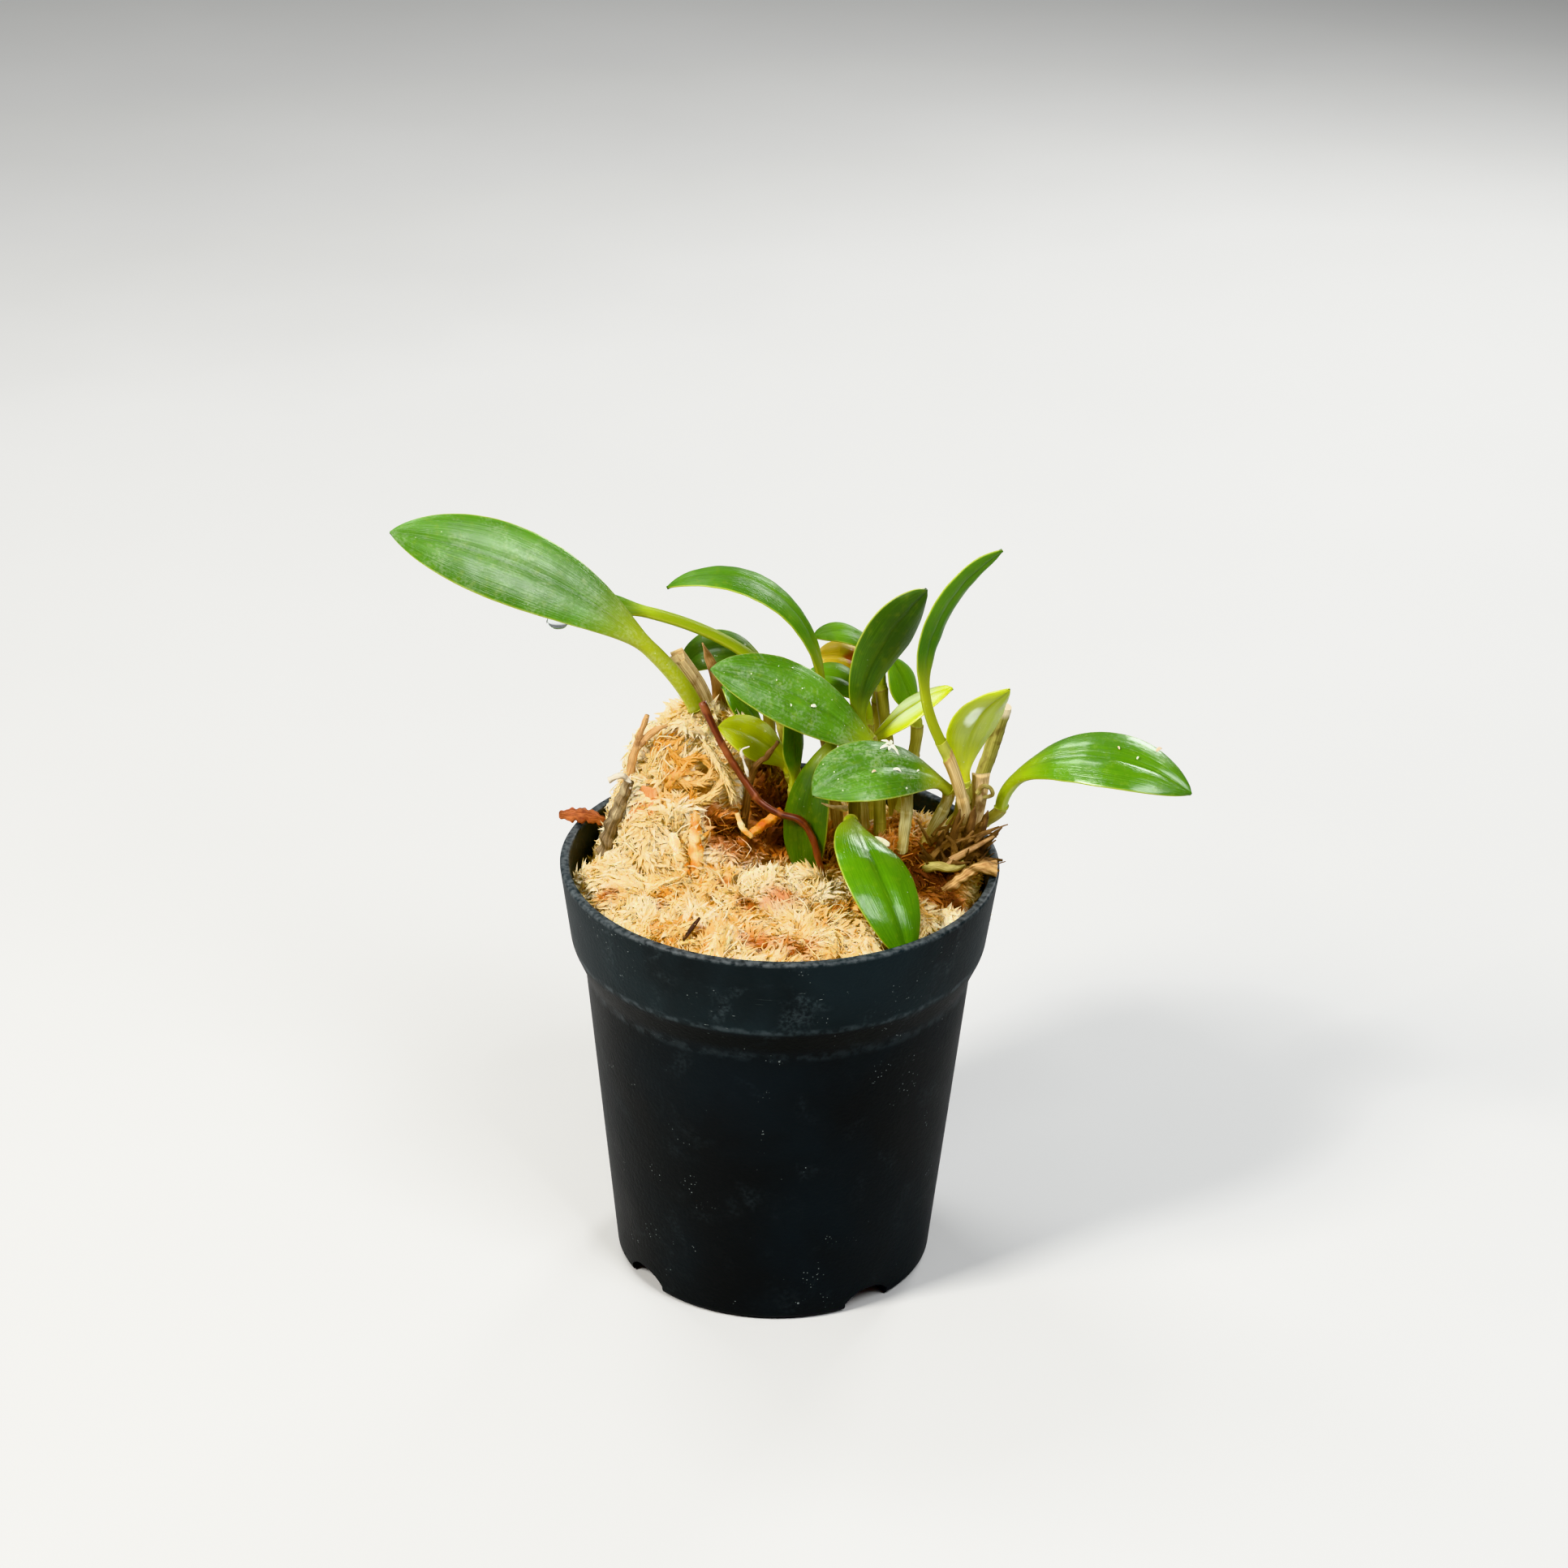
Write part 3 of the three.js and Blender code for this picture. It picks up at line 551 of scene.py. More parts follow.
@dataclass(frozen=True)
class LeafFinish:
    """Leathery leaf: satin face, paler stalk and margin, darker back, dust specks, a dust haze that partly
    stands in for painted sheen, and optional painted sheen and painted highlight patches.
    """

    name: str
    face: str = "#527f1c"
    deep: str = "#3a6410"
    stalk: str = "#a3ac26"
    back: str = "#46661a"
    margin: str = "#a8ae45"
    roughness: float = 0.4
    gloss: float = 0.1
    dust_and_sheen: float = 0.0
    specks: float = 0.3
    spot: float = 0.0
    painted_sheen: float = 0.0
    painted_highlight: tuple[float, float] | None = None
    glow: float = 0.1
    shine: float = 0.5

    def material(self) -> Material:
        """Mixes the leaf's colours by its own marks: across, along, upper and blade.

        Returns:
            The material.
        """
        bench = Bench(self.name)
        across = bench.maths("ABSOLUTE", bench.mark("across"))
        upper, blade = bench.mark("upper"), bench.mark("blade")
        broad, fine = bench.noise(120, 3), bench.noise(1100, 5)
        streak = bench.noise(2.2, 6, bench.lay(across=11.0, along=1.8))
        tone = bench.maths("MULTIPLY_ADD", streak, 0.4, bench.times(broad, 0.6))
        color = bench.blend(bench.band(tone, 0.36, 0.66), self.deep, self.face)
        color = bench.blend(bench.band(fine, 0.5, 0.85, 0.18), color, self.stalk)
        color = bench.blend(bench.band(across, 0.09, 0.0, 0.5), color, self.deep)
        color = bench.blend(bench.band(blade, 0.32, 0.0, 0.95), color, self.stalk)
        back = bench.blend(bench.band(tone, 0.35, 0.7), self.deep, self.back)
        back = bench.blend(bench.band(across, 0.14, 0.0, 0.55), back, self.stalk)
        back = bench.blend(bench.band(blade, 0.3, 0.0, 0.9), back, self.stalk)
        color = bench.blend(upper, back, color)
        color = bench.blend(bench.band(across, 0.95, 1.0, 0.7), color, self.margin)
        if self.spot > 0:
            color = bench.blend(self.spotted(bench, across), color, "#b04e12")
        # Painted sheen: a pale bloom on the upper side where the leaf should catch the lamps.
        if self.painted_sheen > 0:
            color = bench.blend(self.painted_sheen_share(bench, across, streak, upper), color, "#dcebd0")
        # Painted highlight: a pale patch that stands in for a lamp's reflection.
        if self.painted_highlight:
            color = bench.blend(self.painted_highlight_share(bench), color, "#f6faea")
        # Dust haze on the upper side, laid on thicker on some finishes as painted sheen, and dust specks.
        cloud = bench.band(bench.times(bench.noise(330, 5), bench.noise(3000, 3)), 0.2, 0.42)
        dust_and_sheen_share = bench.times(cloud, self.dust_and_sheen, upper)
        grit = bench.maths("MAXIMUM", self.grit(bench, 500, 0.1), self.grit(bench, 1300, 0.13))
        grit = bench.maths("MAXIMUM", dust_and_sheen_share, bench.times(grit, self.specks))
        color = bench.blend(grit, color, "#dfe3c8")
        rough = bench.maths("MULTIPLY_ADD", fine, 0.12, self.roughness - 0.06)
        rough = bench.maths("MULTIPLY_ADD", grit, 0.3, rough)
        rough = bench.maths("MULTIPLY_ADD", bench.maths("SUBTRACT", 1.0, upper), 0.1, rough)
        bench.bump(bench.cells(1700), 0.00004, 0.5)
        bench.bump(streak, 0.0002, 0.4)
        bench.bump(broad, 0.0006, 0.35)
        bench.glow(self.glow, 0.001, (0.5, 1.0, 0.12))
        coat = {"Coat_Weight": self.gloss, "Coat_Roughness": 0.16}
        return bench.finish(color, rough, Specular_IOR_Level=self.shine, IOR=1.42, **coat)

    def spotted(self, bench: Bench, across: Any) -> Socket:
        """A ragged blotch a little past the middle of the leaf.

        Args:
            bench: the leaf's bench.
            across: how far from the midrib, from 0 to 1.

        Returns:
            A share from 0 to 1.
        """
        away = bench.maths("POWER", bench.maths("SUBTRACT", bench.mark("along"), 0.55), 2.0)
        near = bench.maths("MULTIPLY_ADD", away, 9.0, bench.times(across, 0.3))
        near = bench.maths("MULTIPLY_ADD", bench.noise(500, 4), 0.3, near)
        return bench.band(near, 0.4, 0.22, self.spot)

    def painted_sheen_share(self, bench: Bench, across: Any, streak: Any, upper: Any) -> Socket:
        """A painted pale sheen on the middle of the upper side, thin at the midrib.

        Args:
            bench: the leaf's bench.
            across: how far from the midrib, from 0 to 1.
            streak: lengthwise streaks, from 0 to 1.
            upper: 1 on the upper side.

        Returns:
            A share from 0 to 1.
        """
        away = bench.maths("ABSOLUTE", bench.maths("SUBTRACT", bench.mark("along"), 0.62))
        thin = bench.maths("MULTIPLY_ADD", streak, 0.9, 0.35)
        sides = bench.times(bench.band(across, 0.95, 0.5), bench.band(across, 0.02, 0.16))
        return bench.times(sides, bench.band(away, 0.34, 0.08), thin, upper, self.painted_sheen)

    def painted_highlight_share(self, bench: Bench) -> Socket:
        """A ragged painted highlight patch about a place along and across the leaf.

        Args:
            bench: the leaf's bench.

        Returns:
            A share from 0 to 1.
        """
        along = bench.maths("SUBTRACT", bench.mark("along"), self.painted_highlight[0])
        across = bench.maths("SUBTRACT", bench.mark("across"), self.painted_highlight[1])
        away = bench.maths("ADD", bench.times(along, along, 38.0), bench.times(across, across, 9.0))
        away = bench.maths("MULTIPLY_ADD", bench.noise(420, 4), 0.9, away)
        return bench.band(away, 1.15, 0.6, 0.8)

    def grit(self, bench: Bench, scale: float, size: float) -> Socket:
        """Scattered round specks that keep to patches, as a share from 0 to 1."""
        patch = bench.band(bench.noise(scale * 0.7, 2), 0.58, 0.62)
        return bench.times(bench.dots(scale, size, size * 0.6), patch)


@dataclass(frozen=True)
class DryFinish:
    """Dry plant skin: lengthwise fibres between two tones, with darker blotches and pale tips."""

    name: str
    light: str
    dark: str
    blotch: str
    tip: str | None = None
    grain: float = 26.0
    roughness: float = 0.7
    relief: float = 0.00012
    glow: float = 0.0

    def material(self) -> Material:
        """Lays fibres along the piece by its marks along and around.

        Returns:
            The material.
        """
        bench = Bench(self.name)
        fibre = bench.noise(1.0, 6, bench.lay(along=3.0, around=self.grain))
        fine = bench.noise(1600, 4)
        cloud = bench.noise(420, 4, warp=0.6)
        color = bench.blend(bench.band(fibre, 0.36, 0.62), self.dark, self.light)
        color = bench.blend(bench.band(cloud, 0.52, 0.68, 0.8), color, self.blotch)
        color = bench.blend(bench.band(fine, 0.4, 0.75, 0.3), color, self.light)
        if self.tip:
            color = bench.blend(bench.band(bench.mark("along"), 0.955, 0.985), color, self.tip)
        rough = bench.maths("ADD", self.roughness - 0.1, bench.times(cloud, 0.25))
        bench.bump(fibre, self.relief)
        bench.bump(fine, self.relief * 0.5, 0.7)
        bench.glow(self.glow, 0.001, (1.0, 0.6, 0.25))
        return bench.finish(color, rough)


@dataclass(frozen=True)
class StemFinish:
    """Thin leafy stem: a green stem that shows between and through its papery sheaths."""

    name: str
    green: str
    sheath: str
    ring: str
    cover: float = 0.7

    def material(self) -> Material:
        """Mixes green and papery tan by the mark sheath, with fibres along the stem.

        Returns:
            The material.
        """
        bench = Bench(self.name)
        fibre = bench.noise(1.0, 6, bench.lay(along=4.0, around=22.0))
        cloud = bench.noise(500, 4, warp=0.5)
        green = bench.blend(bench.band(cloud, 0.35, 0.7), self.green, "#b7bb4a")
        paper = bench.blend(bench.band(fibre, 0.35, 0.65), self.ring, self.sheath)
        share = bench.times(bench.band(bench.mark("sheath"), 0.3, 0.7), self.cover)
        color = bench.blend(share, green, paper)
        color = bench.blend(bench.band(bench.mark("edge"), 0.2, 0.9, 0.8), color, self.ring)
        color = bench.blend(bench.band(bench.mark("along"), 0.25, 0.02, 0.75), color, "#5a3a1c")
        rough = bench.maths("ADD", 0.42, bench.times(fibre, 0.25))
        bench.bump(fibre, 0.0001)
        bench.glow(0.1, 0.001, (1.0, 0.9, 0.3))
        return bench.finish(color, rough)


@dataclass(frozen=True)
class MossFinish:
    """Dried moss: cream to gold by the mark tint, and painted shade in deep orange and brown by the mark
    deep.
    """

    name: str
    pale: str = "#fdedc2"
    straw: str = "#f3d28c"
    gold: str = "#dd9c44"
    rust: str = "#c0641a"
    dark: str = "#4e1f08"
    glow: float = 0.3
    roughness: float = 0.72

    def material(self) -> Material:
        """Runs the tints through a colour line, then reddens and darkens what lies deep, as painted shade.

        Returns:
            The material.
        """
        bench = Bench(self.name)
        patch, fine = bench.noise(170, 3), bench.noise(2600, 5)
        tint = bench.maths("MULTIPLY_ADD", patch, 0.5, bench.maths("SUBTRACT", bench.mark("tint"), 0.25))
        tint = bench.maths("MULTIPLY_ADD", fine, 0.2, bench.maths("SUBTRACT", tint, 0.1))
        stops = [(0.08, self.pale), (0.42, self.straw), (0.72, self.gold), (1.0, self.rust)]
        # Painted shade: deep places turn rust, partly the moss's own redder colour, and the deepest turn dark
        # brown.
        deep = bench.mark("deep")
        color = bench.blend(bench.band(deep, 0.2, 0.75, 0.85), bench.ramp(tint, stops), self.rust)
        color = bench.blend(bench.band(deep, 0.72, 1.0, 0.9), color, self.dark)
        bench.bump(bench.noise(4200, 3), 0.00012)
        bench.bump(fine, 0.0001)
        bench.glow(self.glow, 0.0006, (1.0, 0.55, 0.2))
        return bench.finish(color, self.roughness, Specular_IOR_Level=0.3)


@dataclass(frozen=True)
class PlasticFinish:
    """Black moulded plastic: bluish black with faint bloom, grit and scratches, painted highlight lines and
    painted shade about the collar's foot, and a lip that is partly worn and partly painted highlight.
    """

    name: str
    black: str = "#07090b"
    bloom: str = "#10161a"
    dust: str = "#5f696c"
    # Heights in metres of the lip's edge, and of the painted highlight lines at the collar's foot and on the
    # ledge below it.
    lip: float = 0.0501
    foot: float = 0.04085
    ledge_highlight: float = 0.0368

    def material(self) -> Material:
        """Layers moulding cloud, dust, grit and scratches, with dust laid on thicker over the collar as
        painted light, painted highlight lines and shade at the collar's foot, and wear and a painted
        highlight at the lip.

        Returns:
            The material.
        """
        bench = Bench(self.name)
        cloud = bench.noise(60, 5, warp=0.3)
        smear = bench.noise(210, 7, warp=0.5)
        fine = bench.noise(2200, 6)
        height = bench.wire("ShaderNodeSeparateXYZ", {0: bench.here}, "Z")
        collar = bench.band(height, 0.034, 0.044)
        color = bench.blend(bench.band(cloud, 0.38, 0.75, 0.7), self.black, self.bloom)
        # Dust, laid on thicker over the collar as painted light, where the sloping collar catches the lamps.
        dust_and_sheen = bench.times(bench.band(smear, 0.52, 0.78), bench.band(fine, 0.35, 0.7))
        dust_and_sheen = bench.times(dust_and_sheen, bench.maths("MULTIPLY_ADD", collar, 0.42, 0.1))
        color = bench.blend(dust_and_sheen, color, self.dust)
        # A painted highlight line along the collar's foot.
        ring = bench.times(bench.band(height, 0.0402, 0.0409), bench.band(cloud, 0.2, 0.6))
        color = bench.blend(bench.times(ring, 0.75), color, "#20282b")
        # Painted highlight lines at the collar's foot and on the ledge below it.
        foot = self.near(bench, height, self.foot, 0.0006, 0.0001)
        ledge_highlight = self.near(bench, height, self.ledge_highlight, 0.0009, 0.0002)
        edge_highlight = bench.maths("MAXIMUM", bench.times(foot, 0.16), bench.times(ledge_highlight, 0.07))
        edge_highlight = bench.times(edge_highlight, bench.band(bench.noise(700, 7), 0.4, 0.62))
        color = bench.blend(edge_highlight, color, "#788488")
        # Painted shade in the band under the collar.
        under = bench.times(bench.band(height, 0.0374, 0.0384), bench.band(height, 0.0404, 0.0396))
        color = bench.blend(bench.times(under, 0.7), color, "#020303")
        grit = bench.maths("MAXIMUM", self.grit(bench, 560, 0.1, 0.6), self.grit(bench, 2100, 0.2, 0.59))
        scratch = bench.maths("MAXIMUM", self.scratch(bench, 0.5), self.scratch(bench, 2.1))
        marks = bench.maths("MAXIMUM", grit, bench.times(scratch, collar))
        color = bench.blend(bench.times(marks, 0.6), color, "#98a09e")
        # The lip's outer edge, lightened partly by wear and partly as a painted highlight.
        lip_edge = bench.band(height, self.lip - 0.00055, self.lip - 0.00015)
        lip_wear_and_highlight = bench.times(lip_edge, bench.band(bench.noise(1500, 6), 0.3, 0.72))
        color = bench.blend(bench.times(lip_wear_and_highlight, 0.22), color, "#939b9d")
        rough = bench.maths("MULTIPLY_ADD", cloud, 0.2, 0.46)
        rough = bench.maths("MULTIPLY_ADD", marks, 0.3, rough)
        bench.bump(fine, 0.00007, 0.6)
        bench.bump(smear, 0.0002, 0.35)
        bench.bump(marks, 0.00005, 0.6)
        return bench.finish(color, rough, Specular_IOR_Level=0.25)

    def near(self, bench: Bench, height: Any, level: float, low: float, high: float) -> Socket:
        """A line round the pot: 0 as far as low from a level, 1 within high, in metres."""
        return bench.band(bench.maths("ABSOLUTE", bench.maths("SUBTRACT", height, level)), low, high)

    def grit(self, bench: Bench, scale: float, size: float, rare: float) -> Socket:
        """Scattered specks of a size that keep to patches, as a share from 0 to 1."""
        patch = bench.band(bench.noise(300, 4), rare, rare + 0.08)
        return bench.times(bench.dots(scale, size, size * 0.5), patch)

    def scratch(self, bench: Bench, turn: float) -> Socket:
        """Fine straight scratches in one direction.

        Args:
            bench: the plastic's bench.
            turn: which direction, in radians.

        Returns:
            A share from 0 to 1.
        """
        lie = {"Vector": bench.here, "Rotation": (turn, 0.9 * turn, 0.4), "Scale": (1.0, 30.0, 30.0)}
        line = bench.band(bench.noise(110, 2, bench.wire("ShaderNodeMapping", lie)), 0.72, 0.76)
        return bench.times(line, bench.band(bench.noise(150, 3), 0.5, 0.62))


@dataclass(frozen=True)
class FlakeFinish:
    """White dry scraps of leaf skin and fluff."""

    name: str
    color: str = "#f3f1e6"

    def material(self) -> Material:
        """Chalky white with a faint crumple.

        Returns:
            The material.
        """
        bench = Bench(self.name)
        fold = bench.noise(1800, 4)
        color = bench.blend(bench.band(fold, 0.3, 0.7), "#d9d3bd", self.color)
        bench.bump(fold, 0.0001)
        return bench.finish(color, 0.6, Subsurface_Weight=0.1, Subsurface_Scale=0.0006)


@dataclass(frozen=True)
class WaterFinish:
    """Clear water drop."""

    name: str

    def material(self) -> Material:
        """Clear, smooth and bending light as water does."""
        bench = Bench(self.name)
        return bench.finish((0.95, 0.98, 0.97), 0.02, Transmission_Weight=1.0, IOR=1.333)


class StemSkin(Enum):
    """What a leafy stem's skin looks like."""

    OLIVE = "olive"
    TAN = "tan"
    PALE = "pale"


@dataclass(frozen=True)
class Lump:
    """A heap in the moss, or a hollow where its rise is minus."""

    at: Pair
    rise: float
    reach: Pair


@dataclass
class Strands:
    """Courses that lie on the moss, its outward direction along them, and a tint for each."""

    paths: np.ndarray
    ups: np.ndarray
    tint: np.ndarray
    random: np.random.Generator

    def only(self, kept: np.ndarray) -> "Strands":
        """The strands that a mask keeps."""
        return Strands(self.paths[kept], self.ups[kept], self.tint[kept], self.random)


@dataclass
class MossBed:
    """The moss that fills the pot: a pillowy bed, leafy branches, fibres, bands and stalks.

    leaves holds the shoots whose leaves come down to the moss, which the strands stay out of.
    """

    level: float = 47.4
    edge_radius: float = 22.7
    floor: float = 1.6
    wall_foot: Pair = (16.8, 2.2)
    wall_top: Pair = (22.1, 41.7)
    pillow_pitch: float = 5.0
    pillow_rise: float = 2.1
    pillow_sink: float = 1.4
    bleached_at: Pair = (-17.3, 0.5)
    bleached_reach: float = 4.0
    leaves: Sequence["LeafyShoot"] = ()
    lumps: tuple[Lump, ...] = (
        Lump((-10.1, 9.5), 14.8, (7.6, 8.4)),
        Lump((-15.5, 1.5), 3.4, (5.5, 5)),
        Lump((-1, 10), 5, (6, 6)),
        Lump((1.5, -5), 1.6, (6, 4)),
        Lump((-2.5, 2.5), -2.4, (3.5, 3.2)),
        Lump((14.5, 4), 2.8, (7, 7)),
        Lump((-21, 6), -4, (3.2, 6)),
        Lump((21.5, -3), -3, (3, 4)),
        Lump((-9, -14), 0.8, (7, 5)),
        Lump((9, -13), 0.6, (7, 5)),
    )
    # Orange patches, partly the moss's own colour and partly painted shade in hollows: each adds a bell to
    # the mark deep.
    embers: tuple[tuple[Point, float], ...] = (
        ((-5.2, 1.2, 51.2), 3.6), ((-6.8, 1.8, 53.6), 2.6), ((-9.2, 2.4, 55.6), 1.8),
        ((0.8, -8.8, 50.2), 2.9), ((-3.4, -9.8, 50.2), 1.9), ((2.4, -18.0, 49.4), 3.0),
        ((-2.8, -17.0, 49.5), 2.6), ((-9.0, -15.5, 48.8), 1.4), ((-6.0, -5.6, 49.6), 1.5),
        ((6.8, -10.2, 49.4), 1.6), ((15.0, -3.4, 49.4), 4.2), ((20.5, -6.0, 47.6), 2.4),
        ((-19.0, -6.8, 48.0), 2.2), ((-13.0, -9.5, 49.0), 1.2), ((5.4, 1.6, 49.6), 4.2),
        ((12.0, 6.0, 50.0), 6.0), ((17.5, -1.5, 50.0), 5.2), ((-1.0, 8.0, 57.0), 4.0),
        ((0.6, 6.4, 55.4), 3.6), ((2.4, 4.6, 53.0), 3.4), ((-0.8, 4.4, 51.4), 3.4),
        ((-1.2, 7.0, 55.0), 2.6),
    )

    def height(self, x: np.ndarray, y: np.ndarray) -> np.ndarray:
        """Height of the bed: lumps rise exp(-(share^1.4)), slow sines, and a fall at the wall.

        Args:
            x: places to the right of the axis.
            y: places behind the axis.

        Returns:
            The height above the pot's underside.
        """
        z = np.full(np.shape(x), self.level)
        for lump in self.lumps:
            share = ((x - lump.at[0]) / lump.reach[0]) ** 2 + ((y - lump.at[1]) / lump.reach[1]) ** 2
            z = z + lump.rise * np.exp(-(share**1.4))
        z = z + 0.35 * np.sin(1.1 * x + 0.6 * y) + 0.3 * np.sin(0.7 * x - 1.3 * y + 1)
        z = z + 0.2 * np.sin(2.1 * x + 1.7 * y + 2)
        return z - 1.2 * smooth(np.hypot(x, y), self.edge_radius - 4, self.edge_radius)

    def on_bed(self, xy: np.ndarray) -> tuple[np.ndarray, np.ndarray]:
        """Places on the bed over x and y, and its outward normals there.

        Args:
            xy: places seen from above, with x and y on the last axis.

        Returns:
            The places in space, and unit normals from the slopes over 0.2 mm.
        """
        x, y = xy[..., 0], xy[..., 1]
        step = 0.2
        z = self.height(x, y)
        slope_x = (self.height(x + step, y) - self.height(x - step, y)) / (2 * step)
        slope_y = (self.height(x, y + step) - self.height(x, y - step)) / (2 * step)
        normal = unit(np.stack([-slope_x, -slope_y, np.ones_like(z)], -1))
        return np.stack([x, y, z], -1), normal

    def pillows(self, points: np.ndarray) -> tuple[np.ndarray, np.ndarray]:
        """Which tuft places belong to, and how far they are from the creases between tufts.

        Tufts grow round the points of a shaken six-sided grid. The second value is
        smooth((second distance - first distance) / 2.8 mm).

        Args:
            points: places with x, y and z along the last axis.

        Returns:
            The tuft's number, and 0 in a crease rising to 1 on a tuft.
        """
        random = np.random.default_rng(77)
        steps = np.arange(-8, 9)
        i, j = np.meshgrid(steps, steps, indexing="ij")
        grid = np.stack([(i + 0.5 * (j % 2)), j * 0.87], -1).reshape(-1, 2) * self.pillow_pitch
        grid = grid + random.uniform(-1.3, 1.3, grid.shape)
        centre = self.on_bed(grid)[0]
        flat = points.reshape(-1, 3)
        away = (flat**2).sum(-1)[:, None] + (centre**2).sum(-1) - 2 * flat @ centre.T
        nearest = np.argpartition(away, 1, axis=1)[:, :2]
        pair = np.sqrt(np.maximum(np.take_along_axis(away, nearest, 1), 0))
        first = np.argmin(pair, axis=1)
        own = np.take_along_axis(nearest, first[:, None], 1)[:, 0]
        crease = smooth(np.abs(pair[:, 1] - pair[:, 0]), 0, 2.8)
        return own.reshape(points.shape[:-1]), crease.reshape(points.shape[:-1])

    def depth(self, points: np.ndarray) -> np.ndarray:
        """How deep places lie in the moss, for painted shade: 0 well over the bed, 1 well under it or in an
        ember.

        Args:
            points: places with x, y and z along the last axis.

        Returns:
            1 - smooth of the height over the bed from -1.4 to 0.6 mm, plus bells round the embers.
        """
        place, normal = self.on_bed(points[..., :2])
        rise = (points[..., 2] - place[..., 2]) * normal[..., 2]
        deep = 1 - smooth(rise, -1.4, 0.6)
        for centre, reach in self.embers:
            deep = deep + 0.74 * bell(np.linalg.norm(points - np.asarray(centre), axis=-1), 0, reach)
        return np.clip(deep, 0, 1)

    def bed(self) -> Shape:
        """The bed itself: rings up the inside of the pot, then inwards over the pillowy top.

        The top stands off the smooth bed by rise sqrt(crease) - sink and two fine ripples,
        which fade out over the last 1.2 mm before the wall.

        Returns:
            The closed bed, marked with tint and deep.
        """
        cols, rings = 240, 96
        under = np.array([[0.5, self.floor], [8, self.floor], [16.4, self.floor], self.wall_foot])
        wall = np.concatenate([under, np.linspace(self.wall_foot, self.wall_top, 16)])
        radius = self.edge_radius * np.linspace(1, 0.004, rings)
        side = np.stack([np.cos(circle(cols)), np.sin(circle(cols))], -1)
        level = np.broadcast_to(wall[:, None, 1:], (len(wall), cols, 1))
        low = np.concatenate([wall[:, None, :1] * side, level], -1)
        top, normal = self.on_bed(radius[:, None, None] * side)
        puff = self.pillow_rise * np.sqrt(self.pillows(top)[1]) - self.pillow_sink
        lumpy = puff + 0.2 * ripple(top, 1.3, 3) + 0.1 * ripple(top, 0.6, 4)
        lumpy = lumpy * smooth(self.edge_radius - radius, 0, 1.2)[:, None]
        top = top + lumpy[..., None] * normal
        shape = Shape.loft(np.concatenate([low, top])[None])
        # The wall and the underside are marked fully deep, as painted shade where the pot hides them.
        shade_depth = np.concatenate([np.ones((len(wall), cols)), self.depth(top)])
        return shape.mark(tint=0.55, deep=shade_depth.ravel())

    def draped(
        self, count: int, seed: int, rows: int, length: Pair, lift: Pair,
        curl: float = 0.6, rise: float = 0.8, stray: float = 0.4,
    ) -> Strands:
        """Strands that lie on the bed, combed the same way within a tuft.

        A course is the bed's surface over centre + length s way + side bend, for s from -1/2 to
        1/2, where side is curl (4 s^2 - 0.33) and a small wave. It is lifted along the normal by
        0.8 of the tuft's puff + lift (1 - 3.2 s^2) + rise s. The tint is the tuft's own, deeper in
        the creases as painted shade, and paler round the bleached place.

        Args:
            count: how many courses.
            seed: which draw.
            rows: places along each course.
            length: shortest and longest.
            lift: lowest and highest arch over the tuft.
            curl: how far they bend sideways.
            rise: how far one end stands up more than the other.
            stray: how far directions stray within a tuft, in radians.

        Returns:
            The strands.
        """
        random = np.random.default_rng(seed)
        radius = (self.edge_radius - 0.9) * np.sqrt(random.random(count * 6))
        turn = random.uniform(0, 2 * np.pi, count * 6)
        xy = np.stack([radius * np.cos(turn), radius * np.sin(turn)], -1)
        steep = 1 / np.maximum(self.on_bed(xy)[1][:, 2], 0.25)
        xy = xy[random.random(len(xy)) < steep / 4][:count]
        count = len(xy)
        centre, normal = self.on_bed(xy)
        own = self.pillows(centre)[0]
        each = np.random.default_rng(78)
        way_of, tint_of = each.uniform(0, 2 * np.pi, 400), each.uniform(0, 1, 400)
        angle = (way_of[own] + random.normal(0, stray, count))[:, None]
        level = unit(np.cross(normal, np.array([0.1, 1.0, 0.2])))
        way = level * np.cos(angle) + np.cross(normal, level) * np.sin(angle)
        bend = np.cross(normal, way)
        s = np.linspace(-0.5, 0.5, rows)[None, :, None]
        reach = random.uniform(*length, (count, 1, 1))
        sway, wave = random.normal(0, 1, (2, count, 1, 1)) * curl
        phase = random.uniform(0, 2 * np.pi, (count, 1, 1))
        side = sway * (4 * s * s - 0.33) + 0.3 * wave * np.sin(9 * s + phase)
        plan = (centre[:, None] + reach * s * way[:, None] + side * bend[:, None])[..., :2]
        far = np.linalg.norm(plan, axis=-1, keepdims=True)
        place, up = self.on_bed(plan * np.minimum(1, (self.edge_radius - 0.6) / far))
        crease = self.pillows(place)[1]
        puff = self.pillow_rise * np.sqrt(crease)[..., None] - self.pillow_sink
        over = random.uniform(*lift, (count, 1, 1)) * (1 - 3.2 * s * s)
        over = over + random.uniform(-rise, rise, (count, 1, 1)) * s
        # Tints run deeper in the creases between tufts, as painted shade.
        tint = 0.4 * tint_of[own] + 0.52 * (1 - crease.mean(1)) ** 1.4 + random.normal(0, 0.12, count)
        away = np.linalg.norm(xy - np.asarray(self.bleached_at), axis=-1)
        tint = np.clip(tint - 0.32 * bell(away, 0, self.bleached_reach), 0, 1.1)
        return Strands(place + (puff * 0.8 + over) * up, up, tint, random)

